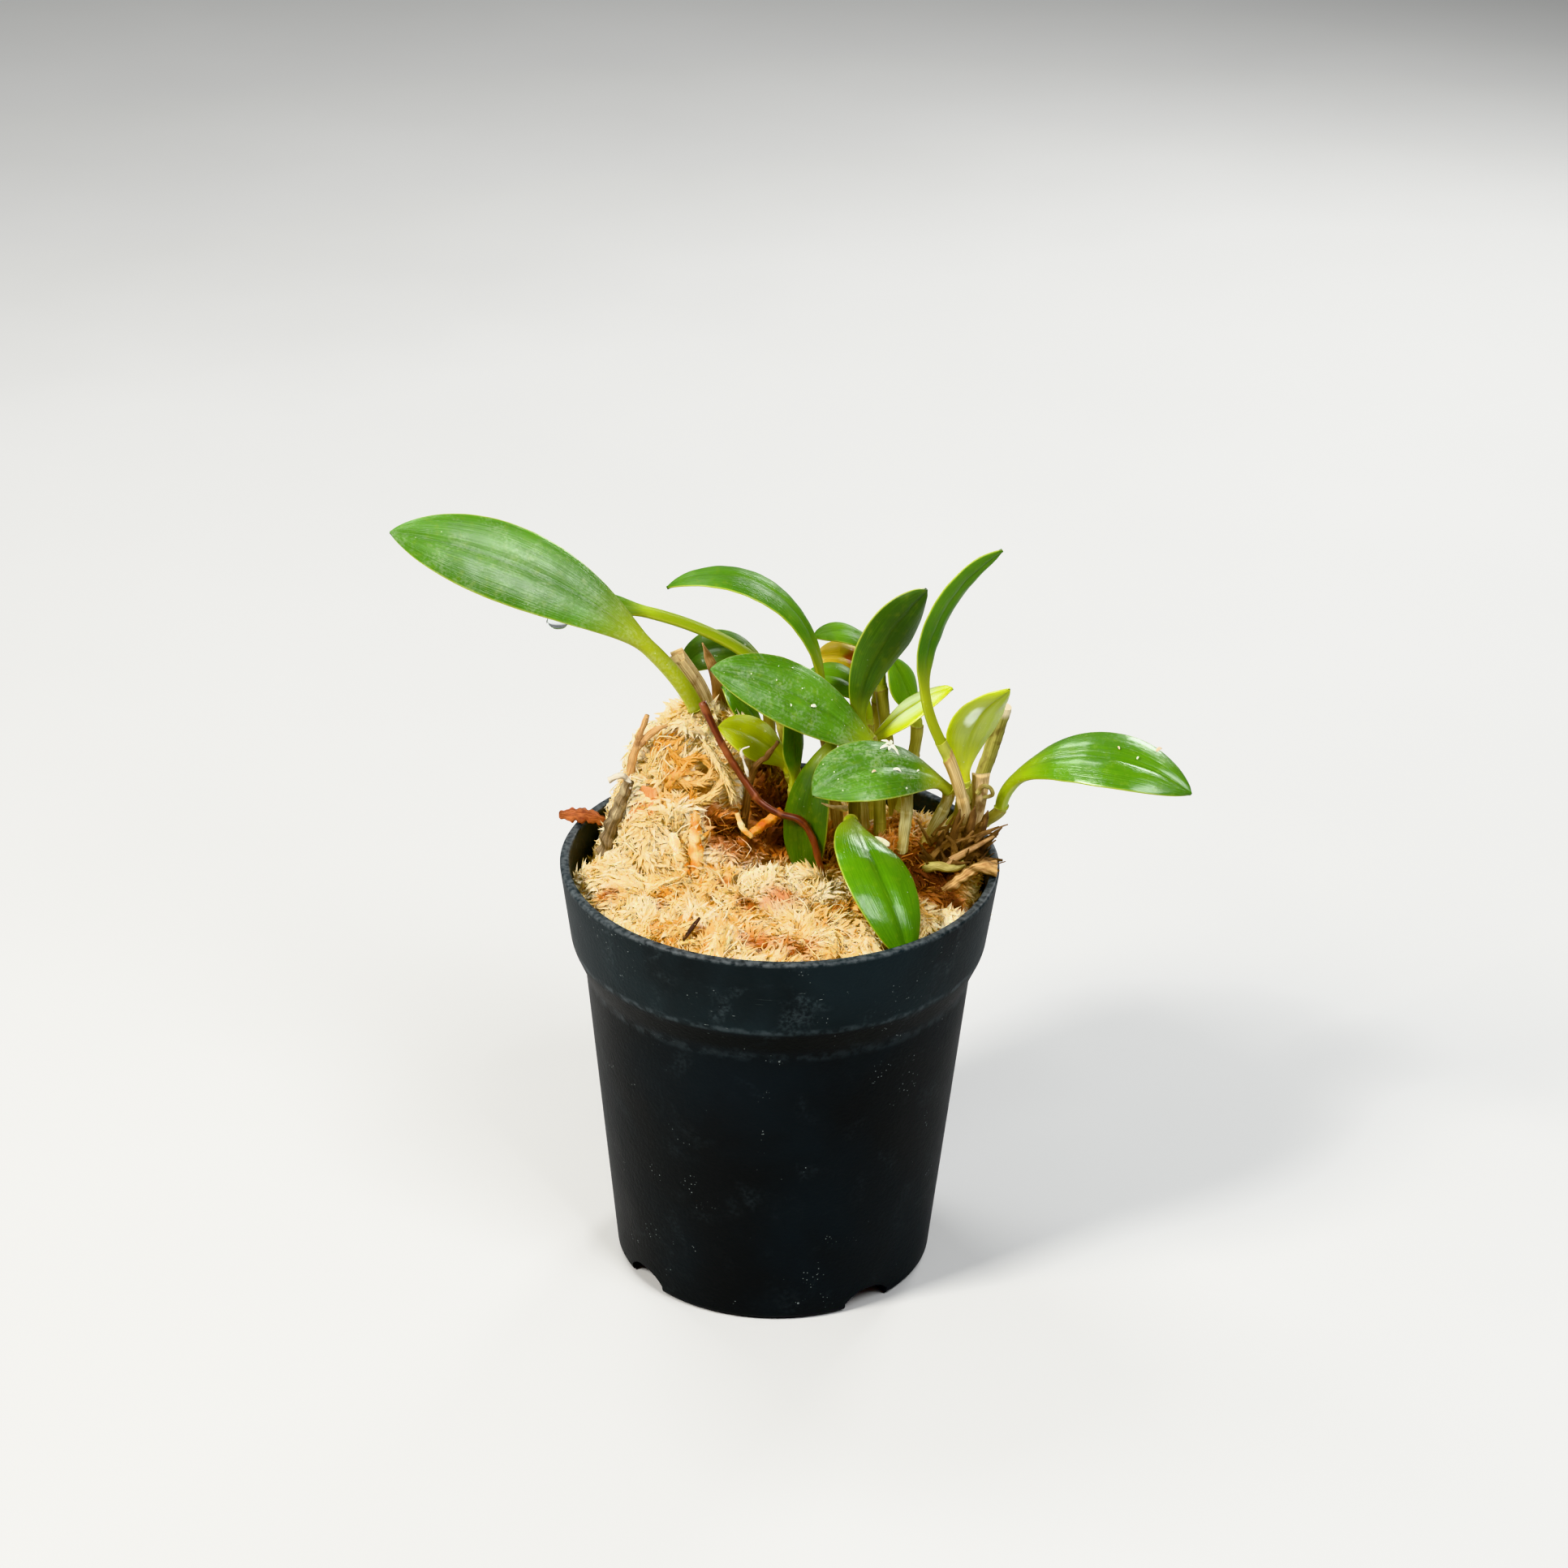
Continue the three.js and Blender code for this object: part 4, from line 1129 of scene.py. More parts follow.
    def clear(self, strands: Strands) -> Strands:
        """Keeps strands out of the space that the leaves over the moss take.

        Args:
            strands: the strands to choose from.

        Returns:
            Those that may stay.
        """
        kept = np.ones(len(strands.paths), bool)
        for leaf in self.leaves:
            station = leaf.stations(26)
            span = strands.paths[:, :, None] - station["point"][None, None]
            over = (span * station["face"]).sum(-1)
            beside = np.linalg.norm(span - over[..., None] * station["face"], axis=-1)
            hit = (beside < leaf.half_width(station["t"]) + 0.3) & (over > -0.7) & (over < 1.6)
            kept &= ~hit.any(axis=(1, 2))
        return strands.only(kept)

    def rope(self, strands: Strands, size: np.ndarray, flat: float, sides: int) -> Shape:
        """Oval skins along strands, thick in the middle and pointed at the ends.

        Args:
            strands: the courses.
            size: the half thickness of each.
            flat: how much wider than thick they are.
            sides: points round each.

        Returns:
            The skins, marked with tint.
        """
        t = np.linspace(0, 1, strands.paths.shape[1])
        swell = 0.25 + 0.75 * np.sin(np.pi * t) ** 0.6
        turn = circle(sides)
        oval = 1 / np.hypot(np.cos(turn) / flat, np.sin(turn))
        radii = size[:, None, None] * swell[:, None] * oval
        tint = strands.tint[:, None, None]
        return tubes(strands.paths, radii, sides, {"tint": tint}, strands.ups)

    def branches(self, strands: Strands, leaflets: int, size: Pair) -> Shape:
        """Branches clothed in small pointed leaves that overlap towards the tip.

        Each leaflet is a four-faced scale: it sits on the branch and leans forwards and
        outwards, a golden angle round from the one before, on the side away from the bed.

        Args:
            strands: the branches' courses.
            leaflets: leaves to a branch.
            size: smallest and largest half thickness.

        Returns:
            The branches with their leaves.
        """
        count, random = len(strands.paths), strands.random
        size = random.uniform(*size, (count, 1))
        stem = self.rope(strands, size[:, 0], 1.2, 5)
        k = np.linspace(0.03, 0.95, leaflets)
        at = k * (strands.paths.shape[1] - 1)
        i = at.astype(int)
        part = (at - i)[None, :, None]
        foot = strands.paths[:, i] * (1 - part) + strands.paths[:, i + 1] * part
        along, across, up = (axis[:, i] for axis in frames(strands.paths, strands.ups))
        turn = (0.382 * np.arange(leaflets) + random.random((count, 1))) % 1
        angle = (turn * 1.3 - 0.15) * np.pi
        out = across * (1.2 * np.cos(angle))[..., None] + up * np.sin(angle)[..., None]
        side = np.cross(along, unit(out))
        swell = size * (0.3 + 0.7 * np.sin(np.pi * k) ** 0.6)
        wide = (0.12 + 0.26 * swell * random.uniform(0.7, 1.2, swell.shape))[..., None]
        long = random.uniform(0.8, 1.9, (count, leaflets, 1))
        lean = random.uniform(0.04, 0.3, (count, leaflets, 1))
        drift = random.normal(0, 0.22, (count, leaflets, 1)) * long
        base = foot + out * (swell * 0.85)[..., None]
        tip = base + along * long + out * long * lean + side * drift
        middle = base + along * 0.35 * long + out * (0.3 * long * lean + 0.07)
        corners = [base - along * 0.25 - out * 0.1, middle + side * wide, tip, middle - side * wide]
        scales = np.stack(corners, 2).reshape(-1, 4, 3)
        faces = np.array([[0, 1, 2], [0, 2, 3], [0, 3, 1], [1, 3, 2]])
        run = (faces[None] + 4 * np.arange(len(scales))[:, None, None]).ravel()
        leaves = Shape(scales.reshape(-1, 3), run, np.full(len(scales) * 4, 3)).outward()
        leaves.mark(tint=np.repeat(strands.tint, leaflets * 4) - 0.06, along=0, around=0)
        shape = Shape.joined([stem, leaves])
        # The mark deep carries painted shade into the moss finish.
        return shape.mark(deep=self.depth(shape.points))

    def fibres(self) -> Shape:
        """Fine pale fibres that lie over the branches and stand up here and there.

        Returns:
            The fibres.
        """
        laid = self.draped(2900, 31, 8, (2, 7), (0.5, 1.3), 0.7, 1.2, 0.35)
        loose = self.draped(700, 32, 8, (2, 6), (0.7, 1.9), 1.4, 2.4, 1.5)
        parts = []
        for strands in (laid, loose):
            strands = self.clear(strands)
            strands.tint *= 0.7
            size = strands.random.uniform(0.045, 0.095, len(strands.paths))
            parts.append(self.rope(strands, size, 1.3, 3))
        shape = Shape.joined(parts)
        # The mark deep carries painted shade into the moss finish.
        return shape.mark(deep=0.7 * self.depth(shape.points))

    def bands(self) -> Shape:
        """Broad papery bands that loop over the heap and lie about on the bed.

        Returns:
            The bands.
        """
        strands = self.draped(1500, 41, 20, (3, 8), (0.1, 1.2), 1.3, 0.8, 1.2)
        middle = strands.paths[:, 11]
        heap = bell(np.hypot(middle[:, 0] + 9.5, middle[:, 1] - 5), 0, 8)
        kept = strands.random.random(len(middle)) < 0.1 + 0.54 * heap
        strands = self.clear(strands.only(kept))
        strands.tint *= 0.8
        size = strands.random.uniform(0.09, 0.2, len(strands.paths))
        shape = self.rope(strands, size, 2.6, 8)
        # The mark deep carries painted shade into the moss finish.
        return shape.mark(deep=0.8 * self.depth(shape.points))

    def loops(self) -> Shape:
        """Golden leafy branches that loop over the front of the heap.

        Returns:
            The branches with their leaves.
        """
        courses = [
            [(-8.9, 2.5, 63.8), (-7.6, 1.8, 61.8), (-6.2, 1.3, 59.6), (-5.4, 1.2, 57.2)],
            [(-13.8, 1.7, 57.4), (-11.4, 0.9, 56.6), (-8.4, 0.8, 57.2), (-6.6, 1.4, 59.2)],
            [(-12.8, 2.1, 59.8), (-10.6, 1.4, 58.7), (-8.4, 1.6, 59.4), (-7.4, 2.3, 61.2)],
            [(-12.9, 2.8, 62.6), (-11.4, 2.3, 61.2), (-9.4, 2.3, 61.6), (-7.6, 2.1, 60.2)],
            [(-13.5, 1.2, 55.6), (-12.0, 0.7, 54.6), (-10.4, 0.5, 55.8), (-10.0, 1.0, 57.6)],
            [(-15.4, 1.2, 53.6), (-14.0, 0.0, 53.2), (-12.6, -0.6, 52.2), (-12.2, -1.4, 50.4)],
        ]
        paths = np.stack([through(course, 16) for course in courses])
        ups = np.broadcast_to(unit(np.array([-0.1, -1.0, 0.45])), paths.shape)
        tint = np.linspace(0.45, 0.95, len(courses))
        strands = Strands(paths, ups, tint, np.random.default_rng(19))
        return self.branches(strands, 120, (0.24, 0.36))

    def stalks(self) -> Shape:
        """A few thick golden moss stalks that stand at the foot of the heap.

        Each is a tube of radius size (0.55 + 0.45 sin^0.6) with ridges and a rough skin.

        Returns:
            The stalks, marked with tint and deep.
        """
        courses = [
            ([(-9.4, -2.4, 48.4), (-9.5, -1.7, 51.4), (-9.6, -0.8, 53.8), (-9.8, 0.3, 56.0)], 0.72, 0.6),
            ([(-11.4, -2.8, 48.8), (-11.8, -2.0, 51.4), (-12.1, -0.7, 53.5)], 0.62, 0.1),
            ([(-4.9, 1.2, 55.2), (-4.3, 0.4, 53.8), (-3.2, 0.2, 52.7)], 0.32, 0.35),
            ([(0.2, 2.6, 54.9), (-1.6, 1.6, 53.8), (-3.6, 0.6, 52.8)], 0.55, 0.95),
        ]
        rows, sides = 44, 24
        turn = circle(sides)
        t = np.linspace(0, 1, rows)[None]
        parts = []
        for number, (course, size, tint) in enumerate(courses):
            path = through(course, rows)[None]
            radii = size * (0.55 + 0.45 * np.sin(np.pi * (0.1 + 0.85 * t)) ** 0.6)
            ridges = 1 + 0.1 * np.sin(5 * turn + number) + 0.05 * np.sin(9 * turn)
            skin = path[:, :, None] + np.stack([np.cos(turn), np.sin(turn), 0 * turn], -1) * size
            rough = 1 + 0.2 * ripple(skin, 1.1, 60 + number) + 0.12 * ripple(skin, 0.5, 65 + number)
            shape = tubes(path, radii[..., None] * ridges * rough, sides)
            parts.append(shape.mark(tint=tint + 0.3 * ripple(shape.points, 1.6, 68), deep=0.1))
        return Shape.joined(parts)

    def beads(self) -> Shape:
        """Glossy amber lumps of old growth that shine in the hollows.

        Returns:
            Uneven flattened balls, marked with tint and deep.
        """
        spots = [
            ((-5.9, 1.1, 51.2), 1.25), ((-4.4, 1.3, 51.6), 0.9), ((-7.2, 0.9, 50.8), 0.8),
            ((-5.0, 0.3, 50.4), 0.6), ((0.5, -9.4, 49.3), 0.95), ((-2.0, -17.4, 48.6), 0.6),
            ((1.5, -19.0, 48.4), 0.5), ((-3.2, -9.9, 49.0), 0.7),
        ]
        round_lump = ball(16, 22, 0.03, 0.8)
        rings = np.stack([np.asarray(spot) + round_lump * size for spot, size in spots])
        rings = rings + 0.22 * ripple(rings, 1.5, 51)[..., None] * round_lump
        return Shape.loft(rings).mark(tint=1.1, deep=0.5)

    def dress(self) -> None:
        """Builds the bed and all that grows on it."""
        moss = MossFinish("moss_fibre").material()
        self.bed().place("moss_bed", moss, "moss", ["moss"])
        under = self.clear(self.draped(560, 11, 10, (4, 10), (0.0, 0.5)))
        self.branches(under, 62, (0.55, 1.0)).place("moss_branches", moss, "moss", crease=75)
        over = self.clear(self.draped(420, 12, 12, (3.5, 8), (0.2, 1.1), 1.0, 1.0, 0.8))
        self.branches(over, 64, (0.3, 0.6)).place("moss_top_branches", moss, "moss", crease=75)
        self.fibres().place("moss_fibres", moss, "moss")
        papery = MossFinish("moss_band", glow=0.4, roughness=0.5).material()
        self.bands().place("moss_bands", papery, "moss")
        self.stalks().place("moss_stalks", papery, "moss")
        self.loops().place("moss_loops", moss, "moss", crease=75)
        amber = MossFinish("moss_amber", gold="#c07c3c", rust="#98561f", roughness=0.28).material()
        self.beads().place("moss_amber_lumps", amber, "moss")


@dataclass(frozen=True)
class LeafSize:
    """One leaf and its stem and degrees.

    base is where the leaf's stalk starts; it sets off at heading (the compass turn from +X) and
    rise (the angle over the ground). droop is what it bends down by its tip, bend where along
    it that happens, swing its sideways bend, roll and twist how its blade is turned round the
    midrib. foot is where its stem leaves the moss, and lean how far the stem keeps its line.
    """

    name: str
    base: Point
    heading: float
    rise: float
    droop: float
    bend: float
    swing: float
    petiole: float
    blade: float
    width: float
    roll: float
    twist: float
    stalk: float
    foot: Pair
    fullest: float = 0.59
    lean: float = 0.14


@dataclass
class LeafyShoot:
    """A leaf on its thin sheathed stem."""

    size: LeafSize
    finish: LeafFinish
    skin: StemSkin = StemSkin.OLIVE
    slot: str = "leaf_green"
    thickness: float = 0.62
    camber: float = 0.16
    channel: float = 0.1
    groove: float = 0.2
    stem_radius: float = 0.85
    foot_depth: float = 4.0
    sheaths: tuple[Pair, ...] = ((0.0, 0.38), (0.34, 0.72), (0.68, 0.93))

    def stations(self, rows: int) -> dict[str, np.ndarray]:
        """Walks along the midrib: at t the leaf heads where rise - droop t^bend says.

        Args:
            rows: how many places to give.

        Returns:
            Arrays of t, point, along, side and face, with side and face rolled round the midrib.
        """
        s = self.size
        fine = 360
        t = np.linspace(0, 1, fine + 1)
        rise = np.radians(s.rise - s.droop * t**s.bend)
        heading = np.radians(s.heading + s.swing * t)
        roll = np.radians(s.roll + s.twist * t)[:, None]
        along = np.stack(
            [np.cos(rise) * np.cos(heading), np.cos(rise) * np.sin(heading), np.sin(rise)], -1
        )
        step = (along[1:] + along[:-1]) / 2 * (s.petiole + s.blade) / fine
        point = np.asarray(s.base) + np.concatenate([np.zeros((1, 3)), np.cumsum(step, axis=0)])
        level = np.stack([-np.sin(heading), np.cos(heading), 0 * heading], -1)
        over = np.cross(along, level)
        side = level * np.cos(roll) + over * np.sin(roll)
        face = -level * np.sin(roll) + over * np.cos(roll)
        pick = np.round(np.linspace(0, fine, rows)).astype(int)
        found = {"t": t, "point": point, "along": along, "side": side, "face": face}
        return {name: values[pick] for name, values in found.items()}

    def blade_share(self, t: np.ndarray) -> np.ndarray:
        """How far along the blade t is, 0 on the leaf's stalk and 1 at the tip."""
        start = self.size.petiole / (self.size.petiole + self.size.blade)
        return np.clip((t - start) / (1 - start), 0, 1)

    def half_width(self, t: np.ndarray) -> np.ndarray:
        """Half width: a stalk (1 - b)^2 wide that widens into b^p (1 - b)^0.8, pointed at the tip.

        The power p is the one that puts the blade's widest place where fullest says.

        Args:
            t: how far along the leaf, from 0 to 1.

        Returns:
            The half width there.
        """
        b = self.blade_share(t)
        tip = 0.8
        base = tip * self.size.fullest / (1 - self.size.fullest)
        peak = self.size.fullest**base * (1 - self.size.fullest) ** tip
        blade = self.size.width / 2 * (b**base * (1 - b) ** tip) / peak
        return np.maximum(0.1, np.hypot(blade, self.size.stalk * (1 - b) ** 2))

    def leaf(self) -> Shape:
        """The leaf: an oval ring carried along the midrib and widened into an arched blade.

        Across the blade u runs from -1 to 1 and back. Its height over the midrib is
        half (camber (1 - u^2) - channel (1 - |u|)^4), less a narrow groove on the face and a
        keel on the back, plus or minus half the thickness, which thins to the margin.

        Returns:
            The leaf with its marks across, along, upper and blade.
        """
        rows, cols = (110, 48) if self.size.blade > 15 else (72, 36)
        at = self.stations(rows)
        t = at["t"][:, None]
        b = self.blade_share(t)
        flat = smooth(b, 0, 0.35)
        half = self.half_width(t)
        turn = circle(cols)[None]
        u, v = np.cos(turn), np.sin(turn)
        thick = (1 - flat) * 0.85 * self.size.stalk + flat * self.thickness / 2
        thick = np.minimum(thick, 0.25 + 0.8 * half)
        body = np.sign(v) * np.abs(v) ** (1 - 0.35 * flat) * thick * (1 - 0.3 * flat * np.abs(u) ** 3)
        arch = flat * half * (self.camber * (1 - u * u) - self.channel * (1 - np.abs(u)) ** 4)
        groove = -self.groove * flat * np.exp(-((u * half / 0.42) ** 2)) * (v > 0)
        keel = -0.16 * (1 - b) * flat * np.exp(-((u * half / 0.5) ** 2)) * (v < 0)
        seed = sum(map(ord, self.size.name))
        wave = 0.1 * flat * u * np.sin(9 * t + seed) * np.minimum(half / 3, 1)
        lift = arch + body + groove + keel + wave
        side, face = at["side"][:, None], at["face"][:, None]
        rings = at["point"][:, None] + (half * u)[..., None] * side + lift[..., None] * face
        rings = rings + (0.05 * flat * ripple(rings, 3.2, seed))[..., None] * face
        marks = {"across": u, "along": t, "upper": smooth(v, -0.25, 0.25), "blade": b}
        return Shape.loft(rings[None], {name: value[None] for name, value in marks.items()})

    def on_leaf(self, t: float, u: float) -> tuple[np.ndarray, np.ndarray, np.ndarray]:
        """A place on the leaf's face, with its outward and lengthwise directions.

        Args:
            t: how far along, from 0 to 1.
            u: how far across, from -1 to 1.

        Returns:
            The place, the face's direction and the direction along.
        """
        at = self.stations(361)
        i = int(round(t * 360))
        half = float(self.half_width(np.array([t]))[0])
        lift = half * (self.camber * (1 - u * u) - self.channel * (1 - abs(u)) ** 4) + self.thickness / 2
        place = at["point"][i] + u * half * at["side"][i] + lift * at["face"][i]
        return place, at["face"][i], at["along"][i]

    def stem(self, moss: MossBed) -> Shape:
        """The stem: a cubic course out of the moss, swollen by overlapping sheaths.

        Each sheath widens slowly to a slanting mouth and ends there in a small step.

        Args:
            moss: the bed that the stem stands in.

        Returns:
            The stem with its marks, among them sheath and edge.
        """
        s = self.size
        along = self.stations(2)["along"][0]
        foot = np.array([*s.foot, float(moss.height(*map(np.asarray, s.foot))) - self.foot_depth])
        top = np.asarray(s.base) + 0.12 * along
        reach = np.linalg.norm(foot - top)
        knots = [foot, foot + np.array([0, 0, 0.35 * reach]), top - along * s.lean * reach, top]
        rows, sides = 90, 20
        t = np.linspace(0, 1, rows)[:, None]
        weights = [(1 - t) ** 3, 3 * t * (1 - t) ** 2, 3 * t * t * (1 - t), t**3]
        path = sum(weight * knot for weight, knot in zip(weights, knots))
        turn = circle(sides)[None]
        seed = sum(map(ord, s.name))
        swell, sheath, edge = 0.0, 0.0, 0.0
        for number, (low, high) in enumerate(self.sheaths):
            mouth = high + 0.022 * np.cos(turn + seed + 2 * number)
            inside = (t > low) & (t < mouth)
            share = np.clip((t - low) / (mouth - low), 0, 1)
            swell = np.where(inside, 0.03 + 0.13 * share**2, swell)
            sheath = np.where(inside, 1.0, sheath)
            edge = np.where(inside, smooth(share, 0.86, 1.0), edge)
        ridges = 0.03 * np.sin(7 * turn + seed)
        shape = 0.76 + swell + ridges + 0.08 * smooth(t, 0.94, 1.0)
        near_leaf = s.stalk / self.stem_radius * 1.05
        shape = shape * (1 - smooth(t, 0.93, 1)) + near_leaf * smooth(t, 0.93, 1)
        radii = self.stem_radius * shape
        radii = radii * (1 + 0.04 * ripple(path, 2.2, seed))[:, None]
        return tubes(path[None], radii[None], sides, {"sheath": sheath, "edge": edge})

    def dress(self, moss: MossBed, stems: dict[StemSkin, Material]) -> None:
        """Builds the leaf and its stem in place of their CAD nodes.

        Args:
            moss: the bed that the stem stands in.
            stems: the material for each kind of stem skin.
        """
        name = self.size.name
        self.leaf().place(f"{name}_leaf", self.finish.material(), self.slot, [f"leaf_{name}"])
        slot = "sheath_tan" if self.skin is StemSkin.TAN else "stem_olive"
        self.stem(moss).place(f"{name}_stem", stems[self.skin], slot, [f"stem_{name}"], crease=50)


@dataclass
class Pot:
    """The small black pot: tapered body, sloping shoulder, collar, plain lip and drain notches."""

    base_radius: float = 18.3
    top_radius: float = 25.0
    height: float = 50.1
    wall: float = 1.1
    floor: float = 1.3
    body_top: Pair = (22.1, 37.1)
    collar_foot: Pair = (23.7, 40.7)
    notch_width: float = 6.0
    notch_height: float = 2.2
    notch_depth: float = 3.4
    notch_turns: tuple[float, ...] = (-53, 37, 127, 217)
    sides: int = 240

    def profile(self) -> np.ndarray:
        """Outline from the centre of the underside, out, up, over the lip and down inside.

        Each corner of the outline is cut back by a small radius and rounded with a parabola
        through its two cut points.

        Returns:
            Radius and height of each point.
        """
        w = self.wall
        corners = [
            (0.02, 0, 0),
            (self.base_radius, 0, 0.55),
            (*self.body_top, 0.9),
            (*self.collar_foot, 0.7),
            (self.top_radius, self.height, 0.42),
            (self.top_radius - w, self.height, 0.3),
            (self.collar_foot[0] - w, self.collar_foot[1] + w / 3, 0.6),
            (self.body_top[0] - w, self.body_top[1] + w / 3, 0.8),
            (self.base_radius - w, self.floor, 0.8),
            (0.02, self.floor, 0),
        ]
        points = []
        for i, (r, z, cut) in enumerate(corners):
            here = np.array([r, z], float)
            if cut == 0:
                points.append(here[None])
                continue
            before = np.array(corners[i - 1][:2], float)
            after = np.array(corners[i + 1][:2], float)
            a = here + cut * (before - here) / np.linalg.norm(before - here)
            c = here + cut * (after - here) / np.linalg.norm(after - here)
            q = np.linspace(0, 1, 7)[:, None]
            points.append(a * (1 - q) ** 2 + 2 * here * q * (1 - q) + c * q * q)
        outline = np.concatenate(points)
        rows = []
        for start, end in zip(outline[:-1], outline[1:]):
            steps = int(np.linalg.norm(end - start) // 3) + 1
            rows.append(start + (end - start) * np.linspace(0, 1, steps, endpoint=False)[:, None])
        return np.concatenate(rows + [outline[-1:]])

    def shell(self) -> Shape:
        """The shell: the outline turned round the axis, barely out of round as moulded pots are.

        Returns:
            The closed shell, before its notches are cut.
        """
        outline = self.profile()
        turn = circle(self.sides)
        r = outline[:, None, 0] * (1 + 0.0012 * np.sin(3 * turn + 1) + 0.0007 * np.sin(5 * turn))
        z = np.broadcast_to(outline[:, None, 1], r.shape)
        return Shape.loft(np.stack([r * np.cos(turn), r * np.sin(turn), z], -1)[None])

    def notch(self, turn: float) -> Shape:
        """A short tunnel with an arched top, pointing out of the pot.

        Args:
            turn: the compass turn from the front, in degrees.

        Returns:
            The closed block that the notch is cut with.
        """
        half, top = self.notch_width / 2, self.notch_height
        q = np.linspace(-1, 1, 17)
        arch = np.stack([q * half, top * (1 - 0.6 * np.abs(q) ** 2.6)], -1)
        outline = np.concatenate([[[-half, -1.0]], arch, [[half, -1.0]]])
        depth = np.array([-(self.base_radius - self.notch_depth), -(self.base_radius + 2)])
        x = np.broadcast_to(outline[:, 0], (2, len(outline)))
        z = np.broadcast_to(outline[:, 1], x.shape)
        y = np.broadcast_to(depth[:, None], x.shape)
        a = math.radians(turn)
        turned = np.stack([x * math.cos(a) - y * math.sin(a), x * math.sin(a) + y * math.cos(a), z], -1)
        return Shape.loft(turned[None])

    def dress(self) -> None:
        """Builds the shell and cuts the notches through its bottom edge."""
        plastic = PlasticFinish("pot_plastic").material()
        shell = self.shell().place("pot_shell", plastic, "pot_plastic", ["pot"])
        cutters = []
        for turn in self.notch_turns:
            block = self.notch(turn)
            mesh = bpy.data.meshes.new("notch_block")
            starts = np.concatenate([[0], np.cumsum(block.sizes)])
            faces = [block.corners[a:b].tolist() for a, b in zip(starts[:-1], starts[1:])]
            mesh.from_pydata((block.points * MM).tolist(), [], faces)
            cutter = bpy.data.objects.new("notch_block", mesh)
            bpy.context.scene.collection.objects.link(cutter)
            cut = shell.modifiers.new("notch", "BOOLEAN")
            cut.operation, cut.solver, cut.object = "DIFFERENCE", "EXACT", cutter
            cutters.append(cutter)
        graph = bpy.context.evaluated_depsgraph_get()
        carved = bpy.data.meshes.new_from_object(shell.evaluated_get(graph))
        carved.name = "pot_shell_carved"
        shell.modifiers.clear()
        shell.data = carved
        carved.shade_smooth()
        carved.set_sharp_from_angle(angle=math.radians(38))
        for cutter in cutters:
            bpy.data.objects.remove(cutter, do_unlink=True)
        LOG.info("pot_shell carved: %d faces", len(carved.polygons))


